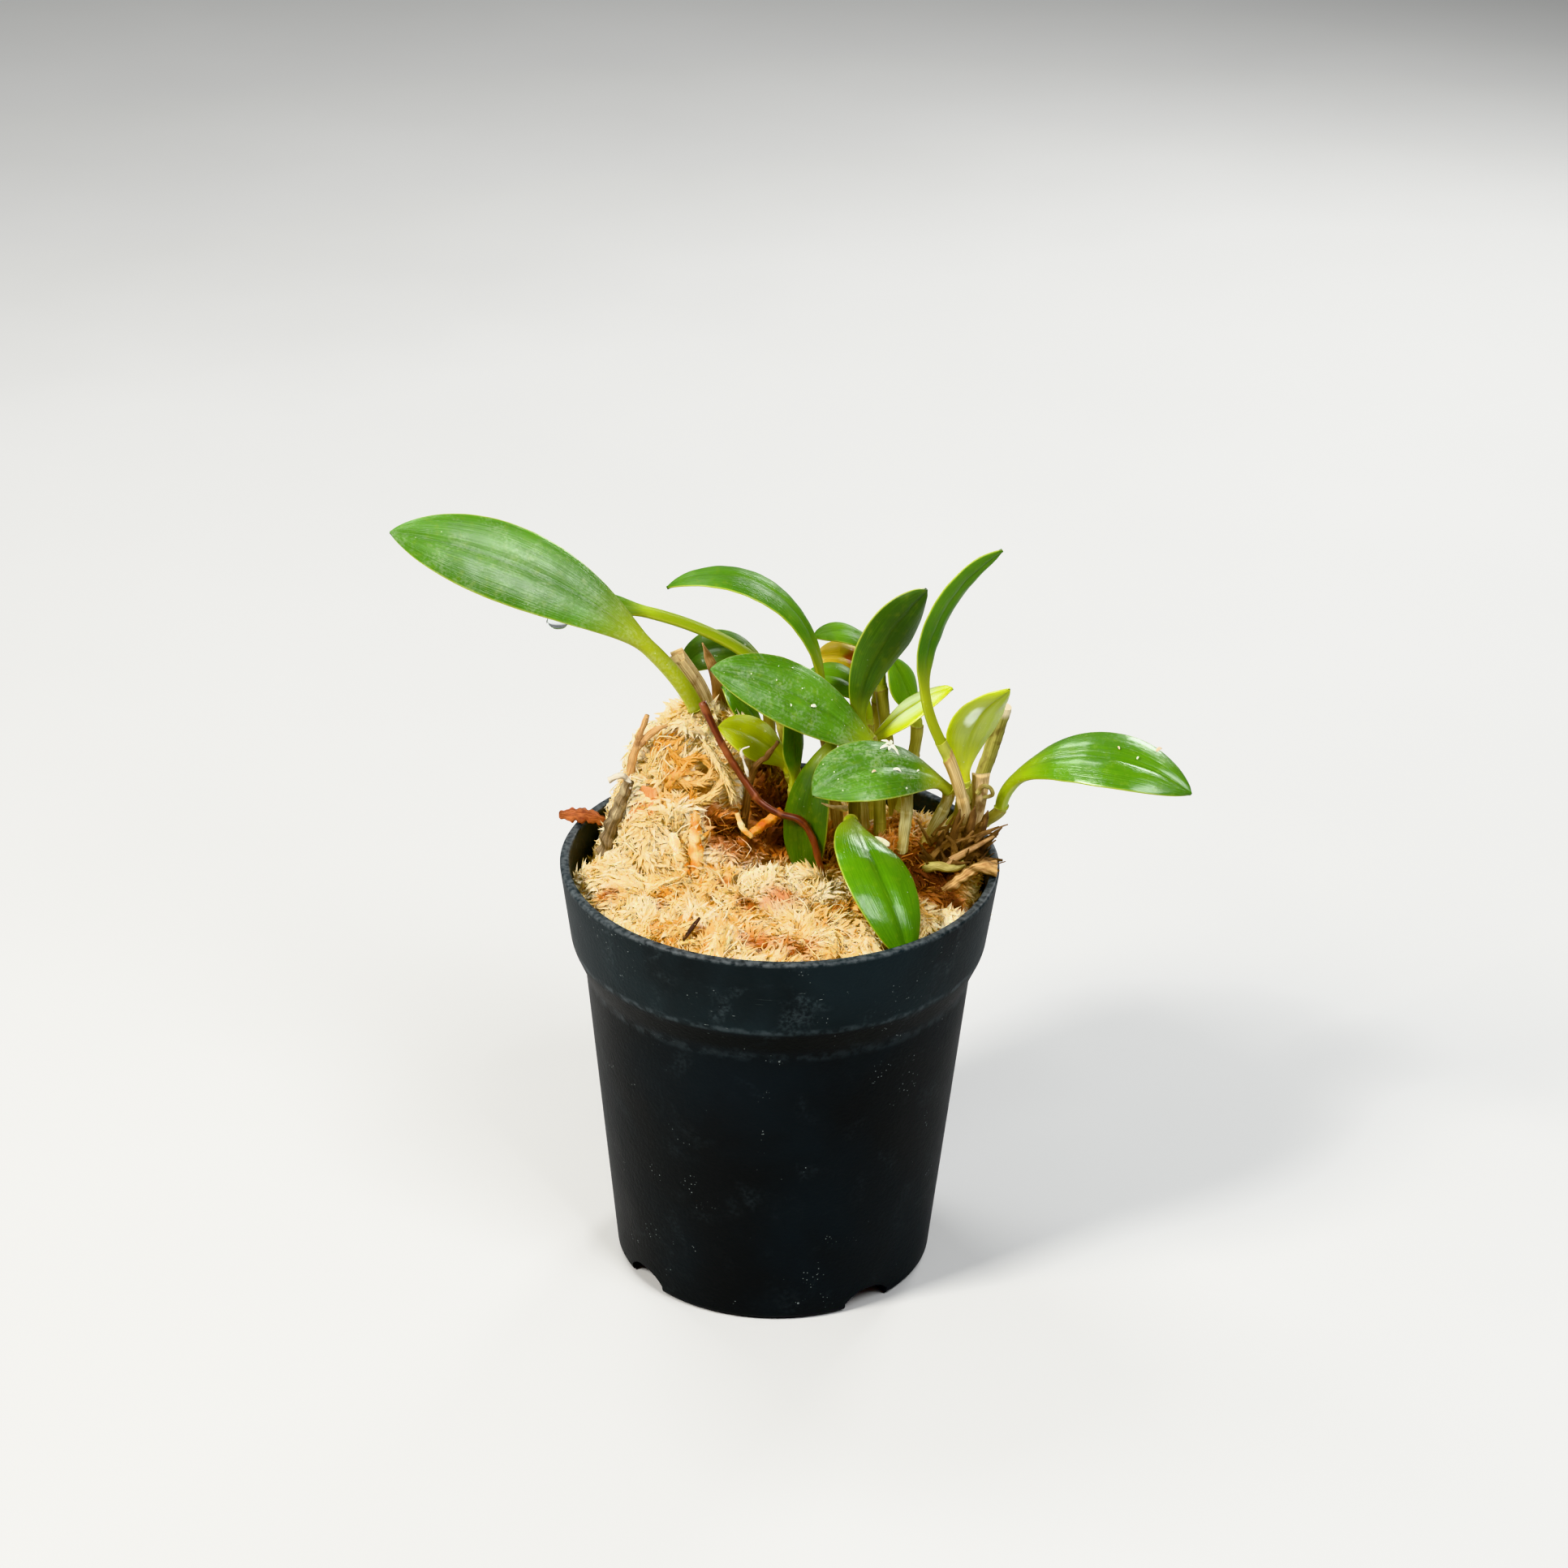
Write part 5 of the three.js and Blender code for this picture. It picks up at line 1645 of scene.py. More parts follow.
@dataclass
class OldGrowth:
    """Stumps, dry sheaths, twigs and bark among the living shoots."""

    front: Point = (0, -1, 0.3)
    tan: DryFinish = DryFinish("sheath_paper", "#dcc390", "#a98a58", "#7c5a34", glow=0.15)
    spike: DryFinish = DryFinish("spike_paper", "#cfa873", "#a37a4a", "#7d5530", glow=0.12)
    brown: DryFinish = DryFinish("brown_paper", "#846036", "#442c14", "#26150a", grain=34)
    husk: DryFinish = DryFinish("husk_paper", "#a9814c", "#6b4a24", "#3d2512", grain=30)
    crust: DryFinish = DryFinish("crusted_bark", "#8a7450", "#4a3820", "#b4a47e", relief=0.0003)
    curl: DryFinish = DryFinish("pale_curl", "#efe9da", "#cfc4aa", "#a8987a")
    bark: DryFinish = DryFinish("orange_bark", "#b96c38", "#833812", "#4e1a0a", grain=18, relief=0.0004)
    rim: DryFinish = DryFinish("rim_stub_bark", "#c9a468", "#8f6232", "#6b4520", grain=12, relief=0.0003)
    soaked: DryFinish = DryFinish(
        "splinter_bark", "#4a2a16", "#2a140a", "#140804", grain=10, relief=0.0001
    )
    scrap: DryFinish = DryFinish("salmon_scrap", "#e2a468", "#c67a3e", "#e9c490", glow=0.2)
    wiry: DryFinish = DryFinish(
        "wiry_stem_skin", "#70361a", "#42180c", "#8e5230", grain=9, roughness=0.42, relief=0.00006
    )
    olive: DryFinish = DryFinish("cut_stem_skin", "#a39c50", "#75722e", "#5e4a24", tip="#e2d2b0")
    lime: DryFinish = DryFinish("fresh_bud", "#b3a862", "#8b7c3a", "#7c5c2c", roughness=0.55)

    def hollow_stump(self) -> Shape:
        """Hollow cut stump: up the outside, over a torn lip, and down a narrow bore.

        The lip's points are moved along the stump by two sine waves round it.

        Returns:
            The closed stump.
        """
        rows, inner, sides = 44, 12, 20
        knots = [(-7.2, 11, 56.2), (-8.4, 11, 62.2), (-9.6, 10.9, 66.1), (-12, 10.7, 70.1)]
        path = through(knots, rows)
        turn = circle(sides)
        course = np.concatenate([path, path[::-1][:inner]])
        outer = np.linspace(1.1, 1.0, rows)[:, None] * np.ones((1, sides))
        bore = np.full((inner, sides), 0.62)
        radius = np.concatenate([outer, bore]) * (1 + 0.05 * np.sin(4 * turn))
        shape = tubes(course[None], radius[None], sides)
        torn = 0.55 * np.sin(2 * turn + 0.6) + 0.3 * np.sin(5 * turn)
        reach = np.concatenate([smooth(np.arange(rows), rows - 6, rows - 1), np.linspace(1, 0, inner)])
        along = unit(path[-1] - path[-2])
        shape.points += ((reach[:, None] * torn)[..., None] * along).reshape(-1, 3)
        return shape

    def dress(self) -> None:
        """Builds the old growth from left to right, and then the finer matter."""
        tan, brown = self.tan.material(), self.brown.material()
        self.left_side(tan)
        self.right_side(tan, brown)
        self.extras(brown)

    def left_side(self, tan: Material) -> None:
        """Builds the stump, spike, forked twig, crusted stub and bark strip on the left.

        Args:
            tan: the papery tan of the hollow stump.
        """
        self.hollow_stump().place("hollow_stump", tan, "sheath_tan", ["cut_stump_left"], crease=60)

        path = through([(-4.4, 14.6, 53.8), (-5.8, 14.4, 61), (-7.4, 13.4, 66), (-9.2, 11.8, 71.3)], 50)
        t = np.linspace(0, 1, 50)
        width = (0.5 + 1.4 * bell(t, 0.35, 0.28)) * (1 - 0.8 * smooth(t, 0.85, 1))
        spike = ribbon(path, width, 0.3, self.front, -0.25, seed=5)
        dry = self.spike.material()
        spike.place("dry_spike", dry, "sheath_tan", ["spiky_stub"])

        trunk = [(-18, 6, 50), (-17.5, 6, 56), (-16.5, 6, 61), (-15.3, 6, 65)]
        prong = [(-16.3, 6, 61), (-14.8, 6, 62.8), (-13, 6.4, 63.6)]
        parts = [stalk(trunk, (0.72, 0.3), 0.3, 8), stalk(prong, (0.5, 0.22), 0.3, 9)]
        Shape.joined(parts).place("forked_twig", dry, "sheath_tan", ["antler_bit"])

        knots = [(-20, 1.6, 46.5), (-19.5, 2, 51.6), (-18.3, 2, 55.4), (-17.2, 2, 58.6)]
        stub = stalk(knots, (1.0, 0.62), 0.22, 10, 60, 20)
        stub.place("crusted_stub_bark", self.crust.material(), "dry_brown", ["crusted_stub"])
        knots = [(-17.3, 1.8, 57.2), (-17.2, 2, 58.6), (-18, 1.8, 59.4), (-19.5, 1.6, 58.9)]
        curl = stalk(knots, (0.3, 0.42), 0.3, 11)
        curl.place("pale_curl", self.curl.material(), "dry_brown")

        path = through([(-25.5, 8.4, 50.9), (-23.4, 8.6, 50.85), (-21.4, 8.4, 50.7), (-19.4, 8, 49.7)], 44)
        t = np.linspace(0, 1, 44)
        half = 0.12 + 0.9 * np.sin(np.pi * (0.04 + 0.92 * t**0.7))
        half = half * (1 + 0.16 * np.sin(31 * t + 1) + 0.1 * np.sin(57 * t))
        sliver = ribbon(path, half, 0.24, (0, -0.5, 1), -0.12, seed=6)
        sliver.place("bark_strip", self.bark.material(), "bark_orange", ["bark_sliver"])

    def right_side(self, tan: Material, brown: Material) -> None:
        """Builds the wiry stem, twigs, stumps and sheaths from the heap to the right-hand rim.

        Args:
            tan: the papery tan of the flared sheath and the pointed stalk.
            brown: the dark brown of the twig and the crown's sheaths.
        """
        self.wiry_stem().place("wiry_dark_stem", self.wiry.material(), "wiry_red", ["wiry_stem"])
        knots = [(-4.4, 2.6, 50.5), (-3.3, 2.6, 59.4), (-1.6, 2, 62.1), (-0.4, 1.6, 64.1)]
        twig = stalk(knots, (0.45, 0.24), 0.25, 12)
        twig.place("thin_twig", brown, "dry_brown", ["brown_twig"])

        knots = [(17.4, 11.2, 45.8), (20.4, 9.6, 50.6), (22.7, 8, 56.2), (25.2, 7, 66.5)]
        stump = stalk(knots, (0.9, 0.84), 0.08, 13, 70, 20)
        stump.place("cut_stem", self.olive.material(), "stem_olive", ["cut_stump_right"], crease=60)

        path = through([(21, 4.4, 46), (21.9, 4.5, 50.6), (22.6, 4.4, 55), (22.7, 4.4, 59)], 44)
        t = np.linspace(0, 1, 44)
        flared = ribbon(path, 0.55 + 0.5 * t**2, 0.3, self.front, -0.55, 18, 14)
        flared.place("flared_sheath", tan, "sheath_tan", ["sheath_stub_right"])

        self.crown().place("crown_papery_sheaths", brown, "dry_brown", ["crown_sheaths"])
        point = stalk([(7.4, -1.6, 57.5), (6, -2.6, 58.1), (4.6, -3, 58.8)], (0.38, 0.08), 0.15, 15)
        point.place("fine_pointed_stalk", tan, "sheath_tan", ["pointed_stalk"])
        knots = [(24.5, -3.3, 51.1), (22.7, -3.4, 51.2), (21.2, -3.4, 50.3), (18.6, -3.9, 48.4)]
        stub = stalk(knots, (0.8, 0.55), 0.3, 16, 50, 18)
        stub.place("rim_stub", self.rim.material(), "sheath_tan", ["tan_stub_right"], crease=60)
        path = through([(-10.4, -18.2, 49.3), (-9.5, -16.5, 49.9), (-8.7, -15.1, 50.4)], 16)
        half = 0.1 + 0.14 * np.sin(np.linspace(0.15, 2.9, 16))
        sliver = ribbon(path, half, 0.2, (0, -0.3, 1), seed=17)
        sliver.place("dark_splinter", self.soaked.material(), "dry_brown", ["dark_sliver"])

    def extras(self, brown: Material) -> None:
        """Adds the small dry matter that is too fine for the solids.

        Args:
            brown: the dark brown of the crown's sheaths.
        """
        path = through([(-15.6, 1.2, 51.0), (-15.4, 1.6, 54.0), (-14.8, 2.6, 57.6)], 40)
        t = np.linspace(0, 1, 40)
        wide = 1.9 * np.sin(np.pi * (0.12 + 0.8 * t)) ** 0.5 * (1 + 0.08 * np.sin(17 * t))
        scrap = ribbon(path, wide, 0.16, (-0.25, -1, 0.35), 0.18, 24, 70)
        scrap.place("dead_leaf_scrap", self.scrap.material(), "bark_orange")

        self.shreds(91, 46, (49.2, 51.2)).place("crown_dry_shreds", brown, "dry_brown")
        self.shreds(92, 34, (50.4, 53.8)).place("crown_husks", self.husk.material(), "dry_brown")

        path = through([(18.0, -2.2, 50.4), (20.0, -2.2, 51.8), (22.0, -1.9, 53.0), (24.6, -1.4, 54.5)], 40)
        half = 0.5 * (1 - 0.75 * np.linspace(0, 1, 40) ** 2)
        strip = ribbon(path, half, 0.14, self.front, -0.5, 14, 71)
        strip.place("crown_long_shred", self.spike.material(), "dry_brown")

        stub = [(16.4, -1.8, 50.2), (17.8, -2.6, 50.9), (19.4, -2.9, 50.8), (20.9, -2.6, 51.3)]
        curl = [(22.3, 3.3, 57.2), (22.9, 3.2, 58.2), (23.8, 3.2, 57.9), (24.0, 3.2, 57.1), (23.0, 3.3, 56.7)]
        bud = [(21.2, 2.3, 56.6), (21.1, 2.2, 57.4), (20.8, 2.2, 58.0)]
        young = [
            stalk(stub, (0.62, 0.4), 0.1, 72),
            stalk(curl, (0.3, 0.22), 0.15, 73),
            stalk(bud, (0.42, 0.12), 0.15, 74),
        ]
        Shape.joined(young).place("crown_young_stubs", self.lime.material(), "stem_olive")

        knots = [(-3.6, -0.3, 64.4), (-4.5, -0.4, 63.9), (-4.2, -0.5, 62.6), (-3.7, -0.7, 60.8)]
        bract = stalk(knots, (0.12, 0.2), 0.4, 75)
        bract.place("pale_bract", self.curl.material(), "sheath_tan")

    def shreds(self, seed: int, count: int, span: Pair) -> Shape:
        """Torn curling strips that stick out of the crown at the right-hand rim.

        Each course is foot + way long q + share bend long q^2, for q from 0 to 1.

        Args:
            seed: which draw.
            count: how many strips.
            span: lowest and highest foot.

        Returns:
            The strips.
        """
        random = np.random.default_rng(seed)
        parts = []
        for number in range(count):
            foot = np.array([random.uniform(16.8, 22.6), random.uniform(-2.0, 0.8), random.uniform(*span)])
            way = np.array([random.normal(0.35, 0.5), random.normal(-0.1, 0.25), random.uniform(0.1, 1.2)])
            bend = np.array([random.normal(0.4, 0.6), random.normal(0, 0.3), random.normal(0, 0.6)])
            long = random.uniform(1.4, 4.6)
            q = np.linspace(0, 1, 14)[:, None]
            path = foot + unit(way) * long * q + unit(bend) * long * random.uniform(0.1, 0.45) * q * q
            half = random.uniform(0.1, 0.5) * (1 - 0.7 * q[:, 0])
            turn = random.uniform(-0.8, 0.8)
            parts.append(ribbon(path, half, 0.05, self.front, turn, 8, 100 + number))
        return Shape.joined(parts)

    def wiry_stem(self) -> Shape:
        """Dark wiry stem over the front of the heap, with slight swellings at its old joints.

        Its radius is 0.4 mm and a bell at each joint, with a fine unevenness.

        Returns:
            The stem.
        """
        knots = [
            (-9, 1.5, 68.9), (-7.1, 0.8, 64.9), (-5.3, 0.4, 61.7), (-3.4, -0.5, 59.1), (-2.2, -1, 57.7),
            (-0.1, -1.5, 56.6), (2.2, -2.2, 56.2), (3.6, -2.8, 54.4), (4.3, -3.4, 52.2), (4.9, -4, 49.5),
            (5.1, -4.2, 46),
        ]
        rows = 120
        path = through(knots, rows)
        t = np.linspace(0, 1, rows)
        radius = 0.4 + 0.1 * bell(t, 0.34, 0.03) + 0.08 * bell(t, 0.6, 0.03) + 0.06 * bell(t, 0.02, 0.03)
        radius = radius * (1 + 0.1 * ripple(path, 1.2, 21))
        return tubes(path[None], radius[None], 14)

    def crown(self) -> Shape:
        """Brown papery sheaths massed in front of the crown, on one thick root on the moss.

        A sheath's half width is width (1 - 0.6 t), and it narrows more over its last part.

        Returns:
            The root and the sheaths.
        """
        strips = [
            ([(19, -0.2, 49.6), (19.4, -1, 52.8), (20.2, -1.4, 57.4)], 0.8),
            ([(20.4, 0.2, 49.8), (21.2, -0.6, 53.5), (21.9, -0.9, 57.6)], 0.9),
            ([(21.2, 0.2, 50.1), (22.6, -0.2, 53.7), (23.4, -0.3, 56.8)], 0.75),
            ([(20.8, -0.4, 50.3), (22.8, 0.4, 52.1), (25.2, 1.6, 53.8)], 0.5),
            ([(18.4, -1, 50.2), (20.8, -1.1, 51.4), (23.2, -0.8, 51.6)], 0.7),
            ([(18, -0.4, 49.8), (17.9, -1, 52), (18.4, -1.2, 54.6)], 0.6),
            ([(17.6, -0.4, 49.8), (16.8, -1.2, 50.8), (15.6, -1.6, 51.8)], 0.5),
        ]
        parts = [stalk([(17, -0.4, 49.8), (19.2, -0.2, 49.6), (21.2, 0, 49.8)], (0.8, 0.8), 0.2, 30)]
        for number, (knots, width) in enumerate(strips):
            t = np.linspace(0, 1, 34)
            half = width * (1 - 0.6 * t) * (1 - 0.7 * smooth(t, 0.85, 1))
            parts.append(ribbon(through(knots, 34), half, 0.26, self.front, -0.35, 16, 31 + number))
        return Shape.joined(parts)


@dataclass
class LooseBits:
    """Small matter on the plant: white fluff, thin flakes, a pale splinter and a water drop."""

    white: FlakeFinish = FlakeFinish("white_fluff")
    tan: FlakeFinish = FlakeFinish("tan_fleck", "#c9a878")
    flake: FlakeFinish = FlakeFinish("clear_scale", "#c8c096")
    clear: WaterFinish = WaterFinish("water")

    def splinters(
        self, place: np.ndarray, face: np.ndarray, along: np.ndarray, turns: Sequence[Pair]
    ) -> Shape:
        """Flat white splinters that fan out from one spot on a leaf.

        Args:
            place: the spot.
            face: the leaf's outward direction there.
            along: the leaf's lengthwise direction there.
            turns: the turn in degrees and the length in millimetres of each splinter.

        Returns:
            All the splinters.
        """
        side = np.cross(face, along)
        parts = []
        for number, (turn, length) in enumerate(turns):
            a = math.radians(turn)
            way = along * math.cos(a) + side * math.sin(a)
            q = np.linspace(0, 1, 9)[:, None]
            arch = min(0.28, 0.3 * length) * np.sin(np.pi * q)
            path = place + way * length * q + face * (0.1 + arch + 0.05 * number)
            half = min(0.2, 0.26 * length) * np.sin(np.pi * (0.15 + 0.8 * q[:, 0])) ** 0.7
            parts.append(ribbon(path, half, 0.06, tuple(face), 0.2, 8, 40 + number))
        return Shape.joined(parts)

    def flecks(self, spots: Sequence[tuple[LeafyShoot, float, float, float, float]]) -> Shape:
        """Single splinters on leaves.

        Args:
            spots: for each its leaf, how far along and across that, its turn and its length.

        Returns:
            All the splinters.
        """
        parts = [
            self.splinters(*leaf.on_leaf(t, u), [(turn, size)]) for leaf, t, u, turn, size in spots
        ]
        return Shape.joined(parts)

    def drop(self, centre: Point, radii: Point) -> Shape:
        """An oval drop of given half sizes along x, y and z."""
        return Shape.loft((np.asarray(centre) + ball(24, 32, 0.02) * np.asarray(radii))[None])

    def dress(self, shoots: dict[str, LeafyShoot]) -> None:
        """Lays the small matter where the plant carries it.

        Args:
            shoots: the living shoots by name.
        """
        white = self.white.material()
        star = ((15, 1.4), (62, 0.7), (118, 1.5), (151, 0.7), (238, 0.8), (326, 1.1), (350, 0.6))
        flat, left, right = shoots["front_flat"], shoots["front_left"], shoots["right_large"]
        self.splinters(*flat.on_leaf(0.44, -0.66), star).place("white_fluff_star", white, "sheath_tan")
        pale = [
            (flat, 0.48, 0.2, 150, 0.9), (flat, 0.29, 0.1, 40, 0.4), (left, 0.57, 0.15, 200, 0.7),
            (left, 0.68, -0.7, 20, 0.16), (left, 0.74, -0.6, 60, 0.12), (right, 0.73, 0.1, 80, 0.4),
        ]
        self.flecks(pale).place("white_flecks", white, "sheath_tan")
        brown = [(flat, 0.6, 0.2, 10, 0.6), (right, 0.65, 0.25, 130, 0.45), (right, 0.79, 0.7, 60, 0.8)]
        self.flecks(brown).place("tan_flecks", self.tan.material(), "sheath_tan")
        path = through([(9.6, -5.2, 55.4), (11.0, -5.1, 55.2), (12.3, -5.0, 54.7)], 20)
        half = 0.5 * np.sin(np.pi * (0.06 + 0.9 * np.linspace(0, 1, 20))) ** 0.5
        flake = ribbon(path, half, 0.06, (0, -0.6, 0.8), 0.35, 16, 61)
        flake.place("clear_flake", self.flake.material(), "sheath_tan")
        water = self.drop((-25.4, 8.0, 75.5), (1.35, 1.0, 0.85))
        water.place("water_drop", self.clear.material(), "leaf_green")


@dataclass
class Studio:
    """Pale floor, soft light and the camera at the photograph's viewing angle."""

    distance: float = 500.0
    elevation: float = 26.65
    target: Point = (0.343, 0.0, 59.608)
    focal_px: float = 5472.6
    frame_px: float = 1932.0
    roll: float = 1.068
    sensor: float = 36.0
    floor_reach: float = 1.6

    def camera(self) -> None:
        """Sets the camera on its line to the target, turned a little round that line."""
        lens = bpy.data.cameras.new("camera")
        lens.sensor_width = self.sensor
        lens.lens = self.focal_px / self.frame_px * self.sensor
        lens.clip_start = 0.01
        camera = bpy.data.objects.new("camera", lens)
        e = math.radians(self.elevation)
        place = np.asarray(self.target) + self.distance * np.array([0, -math.cos(e), math.sin(e)])
        camera.location = place * MM
        camera.rotation_mode = "XYZ"
        turned = Matrix.Rotation(math.radians(90 - self.elevation), 4, "X")
        turned = turned @ Matrix.Rotation(math.radians(self.roll), 4, "Z")
        camera.rotation_euler = turned.to_euler("XYZ")
        bpy.context.scene.collection.objects.link(camera)
        bpy.context.scene.camera = camera

    def lamp(self, name: str, place: Point, size: float, power: float, color: Color) -> None:
        """Adds a soft square lamp that faces the plant.

        Args:
            name: the lamp's name.
            place: where it stands.
            size: its side.
            power: its strength in watts.
            color: its tint.
        """
        light = bpy.data.lights.new(name, "AREA")
        light.shape = "SQUARE"
        light.size = size * MM
        light.energy = power
        light.color = color
        lamp = bpy.data.objects.new(name, light)
        lamp.location = np.asarray(place) * MM
        aim = Vector((0, 0, 0.055)) - lamp.location
        lamp.rotation_euler = aim.to_track_quat("-Z", "Y").to_euler()
        bpy.context.scene.collection.objects.link(lamp)

    def floor(self) -> None:
        """A wide pale floor with a faint mottle."""
        mesh = bpy.data.meshes.new("floor")
        signs = ((-1, -1), (1, -1), (1, 1), (-1, 1))
        corners = [(x * self.floor_reach, y * self.floor_reach, 0) for x, y in signs]
        mesh.from_pydata(corners, [], [(0, 1, 2, 3)])
        bench = Bench("floor_card")
        tone = bench.blend(bench.noise(14, 3), (0.5, 0.5, 0.49), (0.55, 0.55, 0.54))
        mesh.materials.append(bench.finish(tone, 0.75))
        floor = bpy.data.objects.new("floor", mesh)
        floor.location = (0, 0, -0.0002)
        bpy.context.scene.collection.objects.link(floor)

    def light(self) -> None:
        """Soft key from the front left, weaker lamps from the right and above, pale surround."""
        self.lamp("key", (-330, -230, 400), 130, 3.8, (1.0, 0.97, 0.92))
        self.lamp("side", (225, -300, 486), 260, 2.9, (0.97, 0.98, 1.0))
        self.lamp("back_low", (180, 385, 250), 120, 0.9, (1.0, 1.0, 1.0))
        self.lamp("back_high", (-165, 235, 465), 180, 1.15, (1.0, 1.0, 1.0))
        world = bpy.data.worlds.new("surround")
        world.use_nodes = True
        background = world.node_tree.nodes["Background"]
        background.inputs["Color"].default_value = (0.78, 0.8, 0.82, 1)
        background.inputs["Strength"].default_value = 0.3
        bpy.context.scene.world = world
        bpy.context.scene.view_settings.view_transform = "Khronos PBR Neutral"

    def set_up(self) -> None:
        """Builds the whole studio."""
        self.camera()
        self.floor()
        self.light()


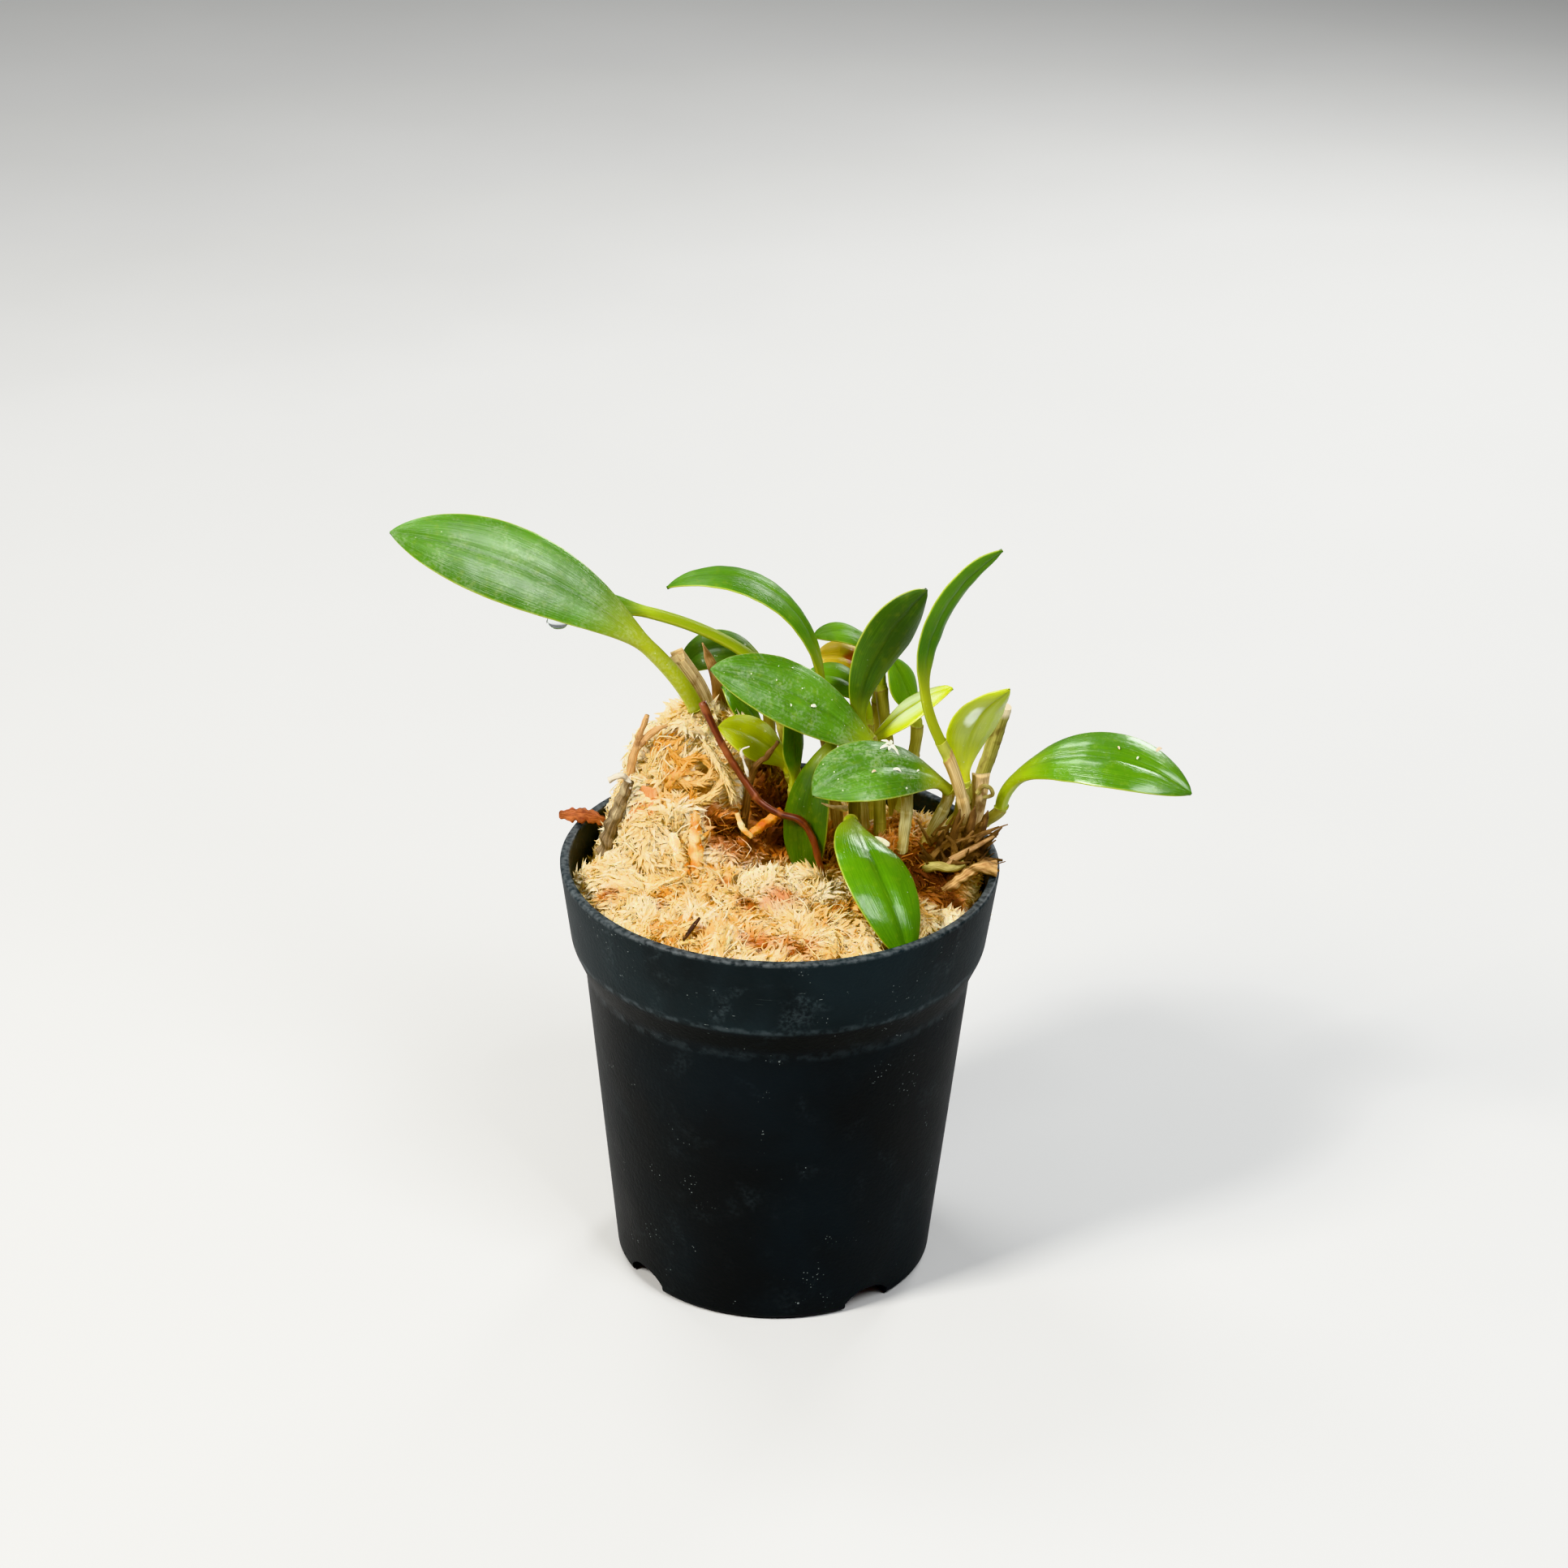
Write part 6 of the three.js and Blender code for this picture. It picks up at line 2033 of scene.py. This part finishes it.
def leafy_shoots() -> dict[str, LeafyShoot]:
    """Lists the living shoots with their sizes and finishes.

    Returns:
        Each shoot by its name.
    """
    dusty = LeafFinish("leaf_dusty", face="#568422", dust_and_sheen=0.14, specks=0.9, roughness=0.36)
    satin = LeafFinish(
        "leaf_satin", face="#547f20", stalk="#959c22", roughness=0.4, gloss=0.04, shine=0.3
    )
    # The broad leaf has a painted sheen, and its dust haze partly stands in for sheen as well.
    broad = LeafFinish(
        "leaf_broad", face="#507e22", deep="#3d6616", stalk="#959c22", roughness=0.32, dust_and_sheen=0.1,
        painted_sheen=0.1,
    )
    supple = LeafFinish(
        "leaf_supple", face="#4e7d0c", deep="#3a6608", stalk="#90a61e", roughness=0.25, gloss=0.2
    )
    dark = LeafFinish("leaf_dark", face="#44690c", deep="#304d08", back="#3c570c", stalk="#8f9c20")
    fresh = LeafFinish(
        "leaf_fresh", face="#5f8a18", deep="#4a740e", stalk="#93a424", back="#5a8014",
        gloss=0.04, shine=0.3,
    )
    glossy = LeafFinish(
        "leaf_glossy", face="#568410", deep="#3f6c0a", stalk="#9aac24", roughness=0.26, gloss=0.5
    )
    # The lime leaves carry a painted sheen; the cupped one also has a painted highlight patch.
    lime = LeafFinish(
        "leaf_lime", face="#b0ba14", deep="#98a610", stalk="#bcc02a", back="#a4ae16",
        margin="#cfcf5a", roughness=0.24, gloss=0.5, glow=0.2, painted_sheen=0.6,
    )
    cup_lime = replace(
        lime, name="leaf_cup_lime", face="#b4be1c", deep="#9aa812", painted_sheen=0.12, painted_highlight=(0.66, 0.42)
    )
    matt_lime = LeafFinish(
        "leaf_matt_lime", face="#a8b010", deep="#929c0e", stalk="#b4b626", back="#9ca414",
        margin="#c4c450", roughness=0.42, gloss=0.0, glow=0.2,
    )
    yellow = LeafFinish(
        "leaf_yellowing", face="#d8b62a", deep="#bda824", stalk="#a8b42c", back="#b7a82a",
        margin="#d8c050", spot=0.95, glow=0.2,
    )
    # The values of each stand in the order of the fields of LeafSize.
    plants = [
        ("left_large", broad, (-9.8, 8, 64.9), 180, 71, 61, 0.57, 2, 8.7, 33.2, 9.4, -48, 0, 0.95,
         (-5.5, 7.2)),
        ("left_arched", fresh, (-0.6, 12.5, 65.2), 185, 102, 105, 0.3, -12, 18, 14, 5.5, -10, 0, 0.75,
         (3, 12)),
        ("back_left", dark, (-1.5, 16.2, 62), 180, 105, 170, 1, 2, 4.8, 11.4, 5, -35, 0, 0.65, (0, 16.6)),
        ("back_long", satin, (4.4, 6.8, 67.2), 170, 89, 117, 1.22, 14, 1, 25.6, 6.9, -7, 11, 0.6, (7, 7.6)),
        ("back_small", fresh, (11.3, 12.6, 66.3), 185, 90, 115, 1.19, 3, 2.2, 10, 4.7, -6, 0, 0.6,
         (13.6, 12)),
        ("yellowing", yellow, (10.9, 15, 63.6), 185, 84, 99, 1, 1, 1, 9, 5.5, -29, 2, 0.6, (10.6, 14.6)),
        ("back_low", fresh, (9.8, 10, 63.2), 179, 95, 118, 0.86, 0, 1, 9.6, 5.2, -23, 11, 0.6, (10.8, 10.8)),
        ("upright", dark, (9.6, 4.8, 63.6), 16, 145, 108, 0.4, 11, 0.5, 19.3, 7.2, 100, 4, 0.7,
         (11.4, 3.4), 0.66),
        ("tall", satin, (17.8, -1, 65.7), 19, 116, 97, 1.26, 4, 6.1, 20.4, 5.3, 123, 0, 0.65,
         (21.4, 2.2), 0.59, 0.42),
        ("pale", lime, (9.5, 7.4, 60.3), 0, 54, 27, 0.93, 0, 0.5, 12.3, 6.3, 3, -2, 0.65, (10, 7.8)),
        ("behind_pale", fresh, (15.4, 12.2, 61.9), 154, 70, 11, 0.86, 4, 0.5, 7.6, 5.8, -8, 9, 0.65,
         (13.2, 8.6)),
        ("cupped", cup_lime, (20.8, 4, 58.4), -17, 95, 65, 1.42, 4, 0.5, 13.3, 7, 133, 7, 0.7, (19.7, 6)),
        ("right_large", glossy, (25.2, 5, 54.7), -21, 98, 128, 0.54, 5, 3.2, 23.1, 8.4, 27, -8, 0.85,
         (18, 8.6)),
        ("front_left", dusty, (14.1, 2.6, 57.7), 187, 58, 43, 1, 6, 4.7, 24, 7.9, -43, -3, 0.75,
         (13.6, 1.4)),
        ("front_flat", dusty, (18.9, 1.2, 58.6), 206, 49, 72, 0.89, 7, 0.6, 18.6, 8.8, -33, 13, 0.75,
         (15.8, 3.2)),
        ("hanging", dark, (6.6, 3, 64.5), 223, -5, 93, 0.37, 4, 0.5, 18.2, 6.5, -5, 2, 0.65, (8.6, 3.4)),
        ("drooping", supple, (7.9, -2.2, 56.2), -81, 3, 76, 1.29, 33, 0.5, 20.4, 8.8, -29, 35, 0.8,
         (12.6, -1.4), 0.49),
        ("low_yellow", matt_lime, (0.9, 6.5, 58), 180, 62, 52, 0.88, 3, 0.5, 9.7, 6.2, -36, 18, 0.65,
         (3.2, 6.6)),
        ("low_green", satin, (1.5, 3.6, 57.6), 154, 90, 9, 0.88, 3, 0.5, 9.5, 4.4, -9, 3, 0.65, (2, 3.2)),
        ("low_glossy", glossy, (-2.2, 12.2, 59.9), 186, 66, 25, 0.87, 2, 0.5, 7.4, 5, -24, 2, 0.65,
         (-1.6, 11)),
    ]
    slots = {"yellowing": "leaf_yellow", **dict.fromkeys(("pale", "cupped", "low_yellow"), "leaf_lime")}
    skins = dict.fromkeys(("left_large", "tall", "back_long"), StemSkin.TAN)
    skins.update(dict.fromkeys(("front_left", "front_flat", "pale", "drooping"), StemSkin.PALE))
    shoots = {}
    for name, finish, *values in plants:
        skin, slot = skins.get(name, StemSkin.OLIVE), slots.get(name, "leaf_green")
        shoots[name] = LeafyShoot(LeafSize(name, *values), finish, skin, slot)
    return shoots


def main() -> None:
    """Builds the studio, the pot, the moss, the shoots and the rest."""
    logging.basicConfig(level=logging.INFO, format="%(name)s: %(message)s")
    Studio().set_up()
    shoots = leafy_shoots()
    moss = MossBed(leaves=(shoots["hanging"], shoots["drooping"]))
    Pot().dress()
    moss.dress()
    stems = {
        StemSkin.OLIVE: StemFinish("olive_stem", "#9aa038", "#b8a860", "#85703a", 0.6).material(),
        StemSkin.TAN: StemFinish("tan_stem", "#a8a848", "#e2c890", "#a9844c", 0.95).material(),
        StemSkin.PALE: StemFinish("pale_stem", "#b4b24a", "#e8e0a8", "#b49c5a", 0.85).material(),
    }
    for shoot in shoots.values():
        shoot.dress(moss, stems)
    OldGrowth().dress()
    LooseBits().dress(shoots)


if __name__ == "__main__":
    main()
